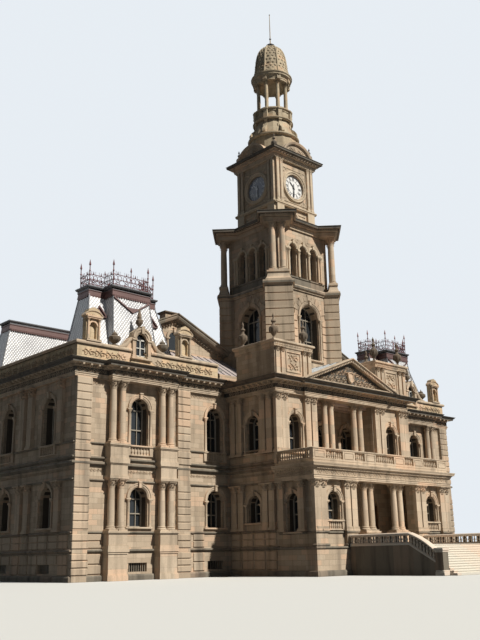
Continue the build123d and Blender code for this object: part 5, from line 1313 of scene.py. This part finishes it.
dial_ring = ((0.0, -0.01), (0.0, 0.06), (0.03, 0.075), (0.06, 0.055), (0.10, 0.055), (0.11, 0.09),
             (0.16, 0.10), (0.20, 0.06), (0.21, -0.01))
leaf_reach, boss_z, rail_z = 1.03, 17.22, 17.61
one = bmesh.new()
moulding(one, circle_path(0.655, (0, dial_z)), dial_ring, upright, closed=True)
for x, z in circle_path(0.735, (0, dial_z), 24):
    stamp(one, urn_lobe, [at(x, -0.06, z) @ Matrix.Scale(0.026, 4)])
for side in (-1, 1):
    for end in (-1, 1):
        for turn in (math.radians(angle) for angle in (33, 45, 57)):
            spot = at(side * leaf_reach * math.cos(turn), -0.005, dial_z + end * leaf_reach * math.sin(turn))
            lean = Matrix.Rotation(side * end * turn, 4, "Y")
            stamp(one, urn_lobe, [spot @ lean @ sized(0.05, 0.03, 0.09)])
    for x in (side * 0.975, side * 1.23):
        stamp(one, capital, [at(x, -0.055, 19.94) @ sized(0.088, 0.060, 0.095)])
        for half, depth, level, chamfer in ((0.115, (-0.14, 0.0), (17.75, 17.83), 0.012),
                                            (0.105, (-0.125, 0.0), (17.83, 17.88), 0.012),
                                            (0.05, (-0.122, -0.1), (17.95, 19.88), 0.01)):
            add_block(one, span(x, half), depth, level, chamfer)
    add_block(one, mirrored(side, 0.85, 1.36), (-0.14, 0.0), (16.70, 16.82), 0.02)
    add_block(one, mirrored(side, 0.86, 1.35), (-0.12, 0.0), (16.82, 17.62), 0.01)
    for level in (17.02, 17.18, 17.34):
        add_block(one, mirrored(side, 0.27, 0.76), (-0.035, 0.01), (level, level + 0.07), 0.012)
rail = against_wall((0.13, 0.0), (0.13, 0.03), (0.17, 0.06), (0.17, 0.11), (0.13, 0.14))
moulding(one, [(-1.47, 0.0), (1.47, 0.0)], rail, at(0, 0, rail_z))
boss_ring = ((0.0, 0.0), (0.0, 0.05), (0.05, 0.05), (0.05, 0.0))
moulding(one, circle_path(0.13, (0, boss_z), 12), boss_ring, upright, closed=True)
stamp(one, urn_lobe, [at(0, -0.02, boss_z) @ Matrix.Scale(0.08, 4)])
moulding(one, symmetric([(0.86, 17.93), (0.86, 19.80)]),
         ((-0.03, -0.01), (-0.03, 0.025), (0.0, 0.03), (0.0, -0.01)), upright, closed=True)
add_block(one, (-1.44, 1.44), (-0.13, 0.0), (20.10, clock_cornice_foot), 0.01)
finish_piece("clock_stage_stone", stamped(keep_mesh(one), clock_faces), pale_stone, smooth=True)

cornice_half = 1.46
cornice_square = [(x * cornice_half, tower_y + y * cornice_half)
                  for x, y in ((1, -1), (1, 1), (-1, 1), (-1, -1))]
clock_cornice = against_wall((0.04, -0.006), (0.04, 0.05), (0.06, 0.07), (0.06, 0.155), (0.17, 0.17),
                             (0.19, 0.28), (0.33, 0.29), (0.33, 0.36), (0.36, 0.39), (0.36, 0.406))
bow_half, bow_rise, bow_top, bow_y = 1.0, 0.6, 21.15, -0.28
radius = (bow_half ** 2 + bow_rise ** 2) / (2 * bow_rise)
bow_turns = [math.atan2(bow_half, radius - bow_rise) * step / 8 for step in range(8, -9, -1)]
curve = [(radius * math.sin(turn), bow_top - radius + radius * math.cos(turn)) for turn in bow_turns]
bow = ((-0.12, -0.1), (-0.12, 0.03), (-0.07, 0.05), (-0.06, 0.10), (-0.01, 0.12), (0.03, 0.14), (0.055, 0.14),
       (0.055, -0.31), (-0.01, -0.31))
one = bmesh.new()
moulding(one, curve, bow, at(0, bow_y, 0) @ upright)
stamp(one, panel_foliage, [at(x, bow_y + 0.005, 20.74) for x in (-0.28, 0.28)])
stamp(one, ring, [at(0, bow_y, 20.80) @ upright @ Matrix.Scale(1.4, 4)])
bm = stamped(keep_mesh(one), clock_faces)
moulding(bm, cornice_square, clock_cornice, at(0, 0, clock_cornice_foot), closed=True)
stamp(bm, bracket, [face @ at(0, -0.04, clock_cornice_foot + 0.18) @ Matrix.Scale(0.85, 4)
                    for face in spaced(cornice_square, 0.20, 0.02, True)])
finish_piece("clock_cornice_stone", bm, dressed, smooth=True)
paint_node("clock_cornice", dressed)

# Dials: enamelled white discs with plain numerals of riveted bars and a minute ring. On the left and back
# dials, which look away from the lamp, the field is painted dark blue-black as painted shade, and the
# numerals and hands are pale as a painted highlight.
dial_face_painted_shade, tree, shader = new_material("dial_enamel_painted_shade")
looks = add_node(tree, "SeparateXYZ", {0: add_node(tree, "NewGeometry").outputs["True Normal"]})
turned_away = add_node(tree, "Math", {0: looks.outputs["Y"], 1: looks.outputs["X"]}, operation="SUBTRACT")
dial_shade_mask = add_node(tree, "Math", {0: turned_away.outputs[0], 1: 0.5}, operation="GREATER_THAN")
dust = group_node(tree, weather_group, Size=3.0)
# Painted shade: the field turns dark blue-black on the dials that look away from the lamp.
enamel = blend_color(tree, dial_shade_mask.outputs[0], (0.78, 0.77, 0.75, 1), (0.02, 0.03, 0.06, 1))
enamel = blend_color(tree, scaled(tree, dust.outputs["Stains"], 0.2), enamel, (0.25, 0.22, 0.18, 1))
tree.links.new(enamel, shader.inputs["Base Color"])
shader.inputs["Roughness"].default_value = 0.3
paint_node("clock_dials", dial_face_painted_shade)


def numeral(bm, text, place, height=0.15, stroke=0.022, lean=0.027):
    """Plain numeral made of bars: each letter I, V or X is one or two upright or leaning strokes."""
    widths = {"I": 0.042, "V": 0.092, "X": 0.092}
    strokes = {"I": ((0, 0),), "V": ((0, -lean), (0, lean)), "X": ((-lean, lean), (lean, -lean))}
    half, rise = stroke / 2, height / 2
    x = -sum(widths[letter] for letter in text) / 2
    for letter in text:
        for low, high in strokes[letter]:
            foot, head = x + widths[letter] / 2 + low, x + widths[letter] / 2 + high
            plate(bm, ((foot - half, -rise), (foot + half, -rise), (head + half, rise), (head - half, rise)),
                  0.008, place)
        x += widths[letter]


def dial_spot(turn, reach):
    """Placing matrix on the dial, this far from its middle at this share of a whole turn."""
    return upright @ Matrix.Rotation(-math.tau * turn, 4, "Z") @ at(0, reach, 0)


one = bmesh.new()
for hour, text in enumerate(("XII", "I", "II", "III", "IV", "V", "VI", "VII", "VIII", "IX", "X", "XI")):
    numeral(one, text, dial_spot(hour / 12, 0.47))
thin_ring = ((0.0, -0.001), (0.0, 0.006), (0.012, 0.006), (0.012, -0.001))
for radius in (0.60, 0.365):
    moulding(one, circle_path(radius), thin_ring, upright, closed=True)
for minute in range(60):
    plate(one, symmetric([(0.004, -0.018), (0.004, 0.018)]), 0.006, dial_spot(minute / 60, 0.583))
marks = keep_mesh(one)
dial_places = [face @ at(0, 0.05, dial_z) for face in clock_faces]
dark_enamel = plain_paint("dark_enamel", (0.02, 0.02, 0.025), 0.35)
# Painted highlight: the numerals and hands of the two dials that look away from the lamp are pale, as if they
# caught the light.
painted_glint_enamel = plain_paint("painted_glint_enamel", (0.60, 0.62, 0.64), 0.35)
finish_piece("dark_numerals", stamped(marks, dial_places[:2]), dark_enamel, slot="dial_glass")
finish_piece("numerals_painted_glint", stamped(marks, dial_places[2:]), painted_glint_enamel, slot="dial_glass")
# Hands: dark on the front and right dials, pale with painted highlight on the left and back ones.
for face, enamel in (("front", dark_enamel), ("right", dark_enamel), ("left", painted_glint_enamel),
                     ("back", painted_glint_enamel)):
    for hand in ("hour", "minute"):
        paint_node(f"{face}_{hand}_hand", enamel)

# Lantern: scrolled buttresses round a panelled drum, an open ring of eight columns, a ribbed and
# scaled dome of stone and a finial that carries the flagpole.
lantern = at(0, tower_y, 0)
eighths = [lantern @ Matrix.Rotation(math.radians(22.5 + 45 * step), 4, "Z") for step in range(8)]
lantern_stone = stone("sandstone_lantern", (0.58, 0.49, 0.35), (0.44, 0.36, 0.25), (0.10, 0.08, 0.06),
                      course=0.26, length=0.5, joint=0.004, streaks=0.5, stains=0.5)
for name in ("lantern_base", "lantern_cornice", "dome", "finial_and_flagpole"):
    paint_node(name, lantern_stone)
console = [(0.92, 22.90), (1.02, 22.90), (1.04, 22.78), (0.98, 22.68), (1.02, 22.50), (1.12, 22.36),
           (1.26, 22.24), (1.34, 22.10), (1.34, 21.98), (1.26, 21.90), (0.92, 21.90)]
drum_head, ring_foot, ring_head, dome_ring = 23.50, 25.20, 25.42, 25.66
one = bmesh.new()
plate(one, console, 0.15, at(0, 0.075, 0) @ upright)
scroll_end = turned(((0.0, -0.095), (0.10, -0.095), (0.10, 0.095), (0.0, 0.095)), 10)
stamp(one, scroll_end, [at(1.23, 0, 22.06) @ upright, at(0.99, 0, 22.80) @ upright @ sized(0.6, 0.6, 0.95)])
add_block(one, (0.90, 1.05), (-0.12, 0.12), (22.93, 23.40), 0.012)
add_block(one, (0.88, 1.09), (-0.14, 0.14), (23.38, drum_head), 0.015)
add_block(one, (0.80, 1.03), (-0.11, 0.11), (ring_foot, ring_head), 0.012)
stamp(one, bracket, [at(0.90, 0, 25.44) @ Matrix.Rotation(math.pi / 2, 4, "Z") @ Matrix.Scale(0.8, 4)])
bm = stamped(keep_mesh(one), eighths)
for radius, level, profile in (
    (1.25, 21.78, against_wall((0.08, 0.0), (0.12, 0.05), (0.12, 0.12), weather=0.02)),
    (0.96, 22.84, against_wall((0.08, 0.0), (0.12, 0.04), (0.12, 0.09), weather=0.02)),
    (0.96, 23.39, against_wall((0.04, 0.0), (0.09, 0.05), (0.09, 0.11), weather=0.01)),
    (0.905, ring_foot, ((-0.3, -0.004), (0.03, -0.004), (0.03, 0.08), (0.05, 0.10), (0.05, 0.16),
                        (0.09, 0.20), (-0.02, 0.21))),
    (0.99, ring_head, ((-0.10, 0.0), (0.02, 0.0), (0.08, 0.06), (0.08, 0.12), (0.13, 0.18), (0.13, 0.22),
                       (-0.10, 0.26))),
    (0.90, dome_ring, ((-0.03, 0.0), (0.07, 0.0), (0.07, 0.05), (0.045, 0.07), (0.03, 0.22), (0.006, 0.46),
                       (-0.03, 0.47))),
):
    moulding(bm, circle_path(radius, (0, tower_y)), profile, at(0, 0, level), closed=True)
for step in range(24):
    turn = lantern @ Matrix.Rotation(math.tau * step / 24, 4, "Z")
    if step % 3:
        stamp(bm, urn_lobe, [turn @ at(1.09 - 0.07 * (step % 3), 0, 22.4) @ sized(0.05, 0.07, 0.20)])
    else:
        for level in (23.0, 23.34):
            add_cube(bm, turn @ at(0.955, 0, level) @ sized(0.05, 0.40, 0.04))
finish_piece("lantern_dressings", bm, lantern_stone, smooth=True)

bm = bmesh.new()
for place in eighths:
    add_column(bm, place @ at(0.78, 0, 0), drum_head, ring_foot, 0.10)
finish_piece("lantern_column_set", bm, lantern_stone, "lantern_columns", smooth=True)

dome_radius, dome_foot, dome_rise, skirt = 0.885, 26.10, 1.50, 0.2


def dome_line(share):
    """Radius and level of the dome's skin at this share of its length, from the skirt at its foot up."""
    if share < skirt:
        return 0.945 - 0.04 * share / skirt, 25.72 + 0.40 * share / skirt
    turn = (share - skirt) / (1 - skirt) * math.pi / 2
    return dome_radius * (0.28 + 0.72 * math.cos(turn) ** 0.9), dome_foot + dome_rise * math.sin(turn)


bm = bmesh.new()
rib_path = [dome_line(step / 15) for step in range(15)]
rib_profile = ((-0.03, -0.05), (0.02, -0.05), (0.045, -0.02), (0.045, 0.02), (0.02, 0.05), (-0.03, 0.05))
for place in eighths:
    moulding(bm, rib_path, rib_profile, place @ upright)
for row in range(12):
    radius, level = dome_line((row + 0.5) / 13)
    near, high = dome_line((row + 0.8) / 13)
    scale = at(radius, 0, level) @ Matrix.Rotation(math.atan2(near - radius, high - level), 4, "Y")
    for step in range(24):
        turn = lantern @ Matrix.Rotation(math.tau * (step + 0.5 * (row % 2)) / 24, 4, "Z")
        stamp(bm, urn_lobe, [turn @ scale @ sized(0.035, 0.11 * radius, 0.075)])
finish_piece("dome_ribs", bm, lantern_stone, smooth=True)
finial = turned(((0.0, 0.0), (0.26, 0.0), (0.28, 0.05), (0.20, 0.09), (0.15, 0.14), (0.22, 0.19),
                 (0.24, 0.24), (0.17, 0.29), (0.08, 0.34), (0.05, 0.40), (0.0, 0.40)), 16)
bm = stamped(finial, [lantern @ at(0, 0, 27.58)])
for level, radius in ((28.25, 0.06), (29.80, 0.035)):
    bmesh.ops.create_icosphere(bm, subdivisions=2, radius=radius, matrix=lantern @ at(0, 0, level))
finish_piece("finial_cap", bm, lead, slot="lantern_lead", smooth=True)

# Pediment over the main front: raking cornices with dentils round a sunk field of scrolling foliage,
# a plain shield in its middle, and a low roof of pale sheet metal with rolls behind it.
pediment_y, pediment_foot, pediment_peak, pediment_reach = -0.43, 8.0, 9.3, 3.25
pediment_slope = math.atan2(pediment_peak - pediment_foot, pediment_reach)
pediment_face = at(0, pediment_y, 0) @ upright
rake_line = [(-pediment_reach, pediment_foot), (0, pediment_peak), (pediment_reach, pediment_foot)]
rake = ((-0.012, -0.4), (-0.012, 0.11), (0.03, 0.11), (0.045, 0.08), (0.075, 0.06), (0.08, 0.02),
        (0.155, 0.012), (0.155, -0.10))
scrolls = ((0.50, 0.27, 1.1), (0.95, 0.27, 1.1), (1.38, 0.24, 1.0), (1.78, 0.20, 0.75), (2.12, 0.16, 0.5),
           (0.34, 0.62, 1.0), (0.78, 0.56, 0.85), (1.15, 0.48, 0.6), (0.17, 0.84, 0.55))
bm = bmesh.new()
moulding(bm, rake_line, rake, pediment_face)
for side in (-1, 1):
    tilt = Matrix.Rotation(side * pediment_slope, 4, "Y")
    for x in (0.06 + 0.105 * step for step in range(27)):
        level = pediment_peak - math.tan(pediment_slope) * x - 0.165
        stamp(bm, dentil, [at(side * x, pediment_y, level) @ tilt])
    for x, lift, size in scrolls:
        spot = at(side * x, pediment_y + 0.172, pediment_foot + lift)
        stamp(bm, panel_foliage, [spot @ Matrix.Scale(size, 4)])
shield = [(0.0, -0.26), (0.12, -0.17), (0.17, -0.04), (0.17, 0.17), (0.0, 0.21), (-0.17, 0.17),
          (-0.17, -0.04), (-0.12, -0.17)]
shield_rim = ((-0.025, 0.0), (-0.025, 0.10), (0.0, 0.115), (0.025, 0.10), (0.025, 0.0))
shield_face = at(0, pediment_y + 0.16, pediment_foot + 0.45) @ upright
plate(bm, shield, 0.07, shield_face)
moulding(bm, shield, shield_rim, shield_face, True)
finish_piece("pediment_carving", bm, dressed, smooth=True)
paint_node("pediment", ashlar)

roof_metal = plain_paint("pale_roof_metal", (0.55, 0.57, 0.58), 0.42, 0.35)
paint_node("pediment_roof", roof_metal)
roof_ridge, roof_eaves = 9.262, 8.345
bm = bmesh.new()
for side in (-1, 1):
    for y in (0.05 + 0.42 * step for step in range(5)):
        bar(bm, (side * 0.02, y, roof_ridge), (side * 2.22, y, roof_eaves), 0.02, 5)
bar(bm, (0, -0.3, roof_ridge), (0, 2.0, roof_ridge), 0.028, 6)
finish_piece("pediment_roof_rolls", bm, roof_metal, slot="roof_lead", smooth=True)

# Attic blocks on both sides of the pediment: small paired pilasters, a carved panel between them and a
# heavy cornice that carries the urns.
attic_inner, attic_outer, attic_depth, attic_head = 2.25, 4.5, 2.35, 9.35
attic_middle = (attic_inner + attic_outer) / 2
attic_path = [(attic_inner, 0), (attic_outer, 0), (attic_outer, attic_depth), (attic_inner, attic_depth)]
attic_cap = against_wall((0.035, -0.05), (0.05, -0.01), (0.06, 0.05), (0.075, 0.10), (0.115, 0.15),
                         (0.145, 0.165), (0.145, 0.235), (0.12, 0.256))
attic_base = against_wall((0.07, 0.0), (0.07, 0.08), (0.04, 0.12))
panel_frame = ((-0.02, -0.02), (-0.02, 0.03), (0.0, 0.045), (0.03, 0.03), (0.035, -0.02))
attic_faces = (facing(attic_middle, 0, 0), facing(attic_outer, attic_depth / 2, 90),
               facing(attic_middle, attic_depth, 180))
panel = symmetric([(0.42, 8.30), (0.42, 9.14)])
one = bmesh.new()
moulding(one, attic_path, attic_cap, at(0, 0, attic_head), True)
moulding(one, attic_path, attic_base, at(0, 0, 8.0), True)
stamp(one, dentil, [face @ at(0, -0.035, attic_head + 0.045)
                    for face in spaced(attic_path, 0.10, 0.02, True)])
for face in attic_faces:
    for offset in (-0.98, -0.66, 0.66, 0.98):
        add_pilaster(one, face @ at(offset, 0, 0), 8.12, attic_head - 0.04, 0.19, 0.06)
    moulding(one, panel, panel_frame, face @ upright, True)
    for level, turn in ((8.53, 0), (8.91, math.pi)):
        spot = face @ at(0, -0.004, level) @ Matrix.Rotation(turn, 4, "Y")
        stamp(one, panel_foliage, [spot @ Matrix.Scale(1.2, 4)])
bm = stamped(keep_mesh(one), [Matrix.Identity(4), at(-2 * attic_middle, 0, 0)])
finish_piece("attic_trim", bm, dressed, smooth=True)
paint_node("attic_blocks", ashlar)

# Balcony over the porch: a balustrade of turned stone balusters between panelled dies, with a moulded
# foot and a heavy hand rail, round the front and both sides.
rail_foot, rail_top, rail_depth, die_half, baluster_radius = 4.375, 4.86, 0.172, 0.37, 0.046
die_x = (0.9875, 2.36, 4.13)
rail_low, rail_high, rail_back = rail_foot + 0.085, rail_top - 0.085, porch_front + rail_depth
panel_low, panel_high, panel_half = rail_low + 0.04, rail_high - 0.04, 0.27
panel_rim = ((-0.012, 0.0), (-0.012, 0.02), (0.012, 0.02), (0.012, 0.0))
bm = bmesh.new()
for level, grow in (((rail_foot, rail_low), 0.01), ((rail_high, rail_high + 0.035), 0.004),
                    ((rail_high + 0.035, rail_top), 0.028)):
    add_block(bm, (-porch_reach - grow, porch_reach + grow), (porch_front - grow, rail_back + grow), level,
              0.008)
    for side in (-1, 1):
        add_block(bm, mirrored(side, porch_reach - rail_depth - grow, porch_reach + grow),
                  (rail_back + grow, 0.0), level, 0.008)
for x in [side * x for side in (-1, 1) for x in die_x]:
    add_block(bm, span(x, die_half), (porch_front - 0.012, rail_back + 0.012), (rail_foot, rail_high), 0.006)
    left, right = span(x, panel_half)
    panel = [(left, panel_low), (right, panel_low), (right, panel_high), (left, panel_high)]
    moulding(bm, panel, panel_rim, at(0, porch_front - 0.011, 0) @ upright, True)
front_middle = (porch_front + rail_back) / 2
spots = []
for start, end in ((-die_x[0], die_x[0]), die_x[:2], die_x[1:]):
    low, high = start + die_half, end - die_half
    count = round((high - low) / 0.125)
    row = [low + (high - low) * (step + 0.5) / count for step in range(count)]
    spots += [(x, front_middle) for x in row]
    if start > 0:
        spots += [(-x, front_middle) for x in row]
spots += [(side * (porch_reach - rail_depth / 2), rail_back + 0.07 + 0.125 * step) for side in (-1, 1)
          for step in range(14)]
stamp(bm, baluster, [at(x, y, rail_low) @ sized(baluster_radius, baluster_radius, rail_high - rail_low)
                     for x, y in spots])
finish_piece("balcony_balustrade", bm, dressed, "balcony_rails", smooth=True)

# Base of the porch: moulded ledges at the floor and under the order, and smooth pedestals under the
# corner pilasters.
low_ledge = against_wall((0.02, 0.0), (0.05, 0.03), (0.05, 0.07), (0.02, 0.10))
pedestal_x, pedestal_half, porch_back = (2.36, 4.1625), 0.3375, 0.14
bm = bmesh.new()
for side in (-1, 1):
    base, wall = ([(side * pedestal_x[0], front), (side * reach, front), (side * reach, porch_back)][::side]
                  for reach, front in ((porch_reach, porch_front), (main_side, porch_wall)))
    for path, profile, level in ((base, plinth, 0.0), (base, low_ledge, 1.0), (wall, low_ledge, 1.572)):
        moulding(bm, path, profile, at(0, 0, level))
    for x in pedestal_x:
        near, far = span(side * x, pedestal_half)
        corner = [(near, porch_wall), (near, porch_front), (far, porch_front), (far, porch_wall)]
        for level in (1.10, 1.59):
            moulding(bm, corner, low_ledge, at(0, 0, level))
finish_piece("porch_base_ledges", bm, ledge_stone, smooth=True)

# Loggia ceiling: plastered beams that cross each other and leave square coffers between them, seven
# from front to back and three across.
loggia_reach, loggia_near, loggia_far, beam_half, beam_top = 1.95, 0.44, 1.50, 0.06, 7.38
bm = bmesh.new()
for x in (-1.74 + 0.58 * step for step in range(7)):
    add_block(bm, span(x, beam_half), (loggia_near, loggia_far), (beam_top - 0.14, beam_top), 0.012)
for y in (0.50, 0.97, 1.44):
    add_block(bm, (-loggia_reach, loggia_reach), span(y, beam_half), (beam_top - 0.13, beam_top), 0.012)
plaster = plain_paint("loggia_plaster", (0.66, 0.50, 0.42), 0.8)
finish_piece("loggia_ceiling_beams", bm, plaster)

# Front stairs: thirteen pale stone steps between side walls that carry blind balusters under a coping;
# the coping bends down at the landing and ends against square newels.
stair_half, wall_depth, terrace, landing_edge, tread, risers = 2.35, 0.26, 1.1, -4.8, 0.15, 13
slope_foot_y, slope_foot_z, stair_rail, newel_half, newel_top = -5.95, 0.45, 0.40, 0.165, 0.95
pale_step = stone("pale_step_stone", (0.70, 0.66, 0.58), (0.60, 0.56, 0.48), (0.30, 0.27, 0.23), course=3.0,
                  length=1.4, joint=0.004, streaks=0.1, stains=0.2)
bm = bmesh.new()
for step in range(risers - 1):
    edge, level = landing_edge - tread * step, terrace * (1 - step / risers)
    add_block(bm, (-stair_half, stair_half), (edge - 0.018, edge + 0.06), (level - 0.035, level + 0.003),
              0.006)
finish_piece("step_nosings", bm, pale_step, slot="floor_stone")
paint_node("front_steps", pale_step)

stair_coping = symmetric([(-0.115, -0.03), (-0.165, 0.0), (-0.165, 0.05), (-0.13, 0.08)])
stair_base = symmetric([(-0.115, -0.02), (-0.15, -0.02), (-0.15, 0.06), (-0.115, 0.09)])
slope_run, slope_drop = landing_edge - slope_foot_y, terrace - slope_foot_z
spots = [(-2.08 - 0.13 * step, terrace + 0.08, stair_rail - 0.14) for step in range(21)]
spots += [(landing_edge - run, terrace + 0.06 - slope_drop / slope_run * run, stair_rail - 0.11)
          for run in (0.09 + 0.135 * step for step in range(8))]
bm = bmesh.new()
for side in (-1, 1):
    x = side * (stair_half + wall_depth / 2)
    for profile, lift, bow in ((stair_coping, stair_rail - 0.05, 0.075), (stair_base, 0.0, 0.0)):
        line = [(-1.985, terrace + lift)]
        for share in (step / 8 for step in range(9)):
            line.append((landing_edge - slope_run * share,
                         terrace - slope_drop * share + lift + bow * math.sin(math.pi * share)))
        rings = [[bm.verts.new((x + across, y, z + rise)) for across, rise in profile] for y, z in line]
        edges = [[bm.edges.new(pair) for pair in zip(corners, corners[1:] + corners[:1])]
                 for corners in rings]
        for near, far in zip(edges, edges[1:]):
            bmesh.ops.bridge_loops(bm, edges=near + far)
        for end in (edges[0], edges[-1]):
            bmesh.ops.edgeloop_fill(bm, edges=end)
    stamp(bm, baluster, [at(x + face_x, y, z) @ sized(0.042, 0.042, height) for y, z, height in spots
                         for face_x in (-0.108, 0.108)])
    newel_x, newel_y = side * (stair_half + newel_half), slope_foot_y - newel_half
    for low, high, grow in ((0.0, 0.14, 0.03), (0.14, 0.19, 0.015),
                            (newel_top - 0.15, newel_top - 0.10, 0.015),
                            (newel_top - 0.10, newel_top + 0.004, 0.035)):
        add_block(bm, span(newel_x, newel_half + grow), span(newel_y, newel_half + grow), (low, high), 0.012)
finish_piece("stair_rail_trim", bm, pale_step, smooth=True)
# The stair walls take the dark ledge stone: painted shade, for the shade their outer faces lie in.
paint_node("stair_walls", ledge_stone)

# Door leaves: oiled wood with three raised panels each. They stand open and fixed in the three doorways
# of the front.
oiled_wood = plain_paint("oiled_door_wood", (0.16, 0.085, 0.045), 0.45)
paint_node("entrance_doors", oiled_wood)

# Carved frieze on the wing walls at the height of the capitals, and a dark stone on the entablatures. On the
# friezes of the wing and main entablatures it is painted shade under the cornices, and on the upper members
# of every cornice it is soot.
bm = bmesh.new()
for near, far in ((4.5, 7.6), (10.75, wing_side), (-wing_side, -10.75), (-7.6, -4.5)):
    path = [(near, wing_front), (far, wing_front)]
    stamp(bm, foliage, [face @ at(0, -0.005, 7.385) for face in spaced(path, 0.34, 0.1)])
finish_piece("wall_frieze_carving", bm, dressed, smooth=True)
soot_and_shade_stone = stone("sandstone_soot_and_painted_shade", (0.17, 0.15, 0.125), (0.10, 0.09, 0.075), (0.035, 0.03, 0.025),
                    course=3.0, length=0.9, joint=0.003, streaks=0.6, stains=0.7)
# Bands of the dark stone: the friezes, as painted shade, and the upper members of the cornices, as soot.
for name, bands in (("wing_entablature_stone", ((7.70, 7.91), (8.03, 8.21))),
                    ("main_entablature_stone", ((7.54, 7.71), (7.83, 8.01))),
                    ("clock_cornice_stone", ((20.42, 20.56),)), ("belfry_cornice", ((-0.14, 0.0),))):
    mesh = bpy.data.objects[name].data
    base = max(corner.co.z for corner in mesh.vertices) if bands[0][0] < 0 else 0.0
    mesh.materials.append(soot_and_shade_stone)
    for face in mesh.polygons:
        if any(low < face.center.z - base <= high + 0.001 for low, high in bands):
            face.material_index = 1
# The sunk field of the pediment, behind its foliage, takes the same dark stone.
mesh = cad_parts["pediment"].data
mesh.materials.append(soot_and_shade_stone)
for face in mesh.polygons:
    if face.center.y > pediment_y + 0.1 and face.normal.y < -0.9:
        face.material_index = len(mesh.materials) - 1
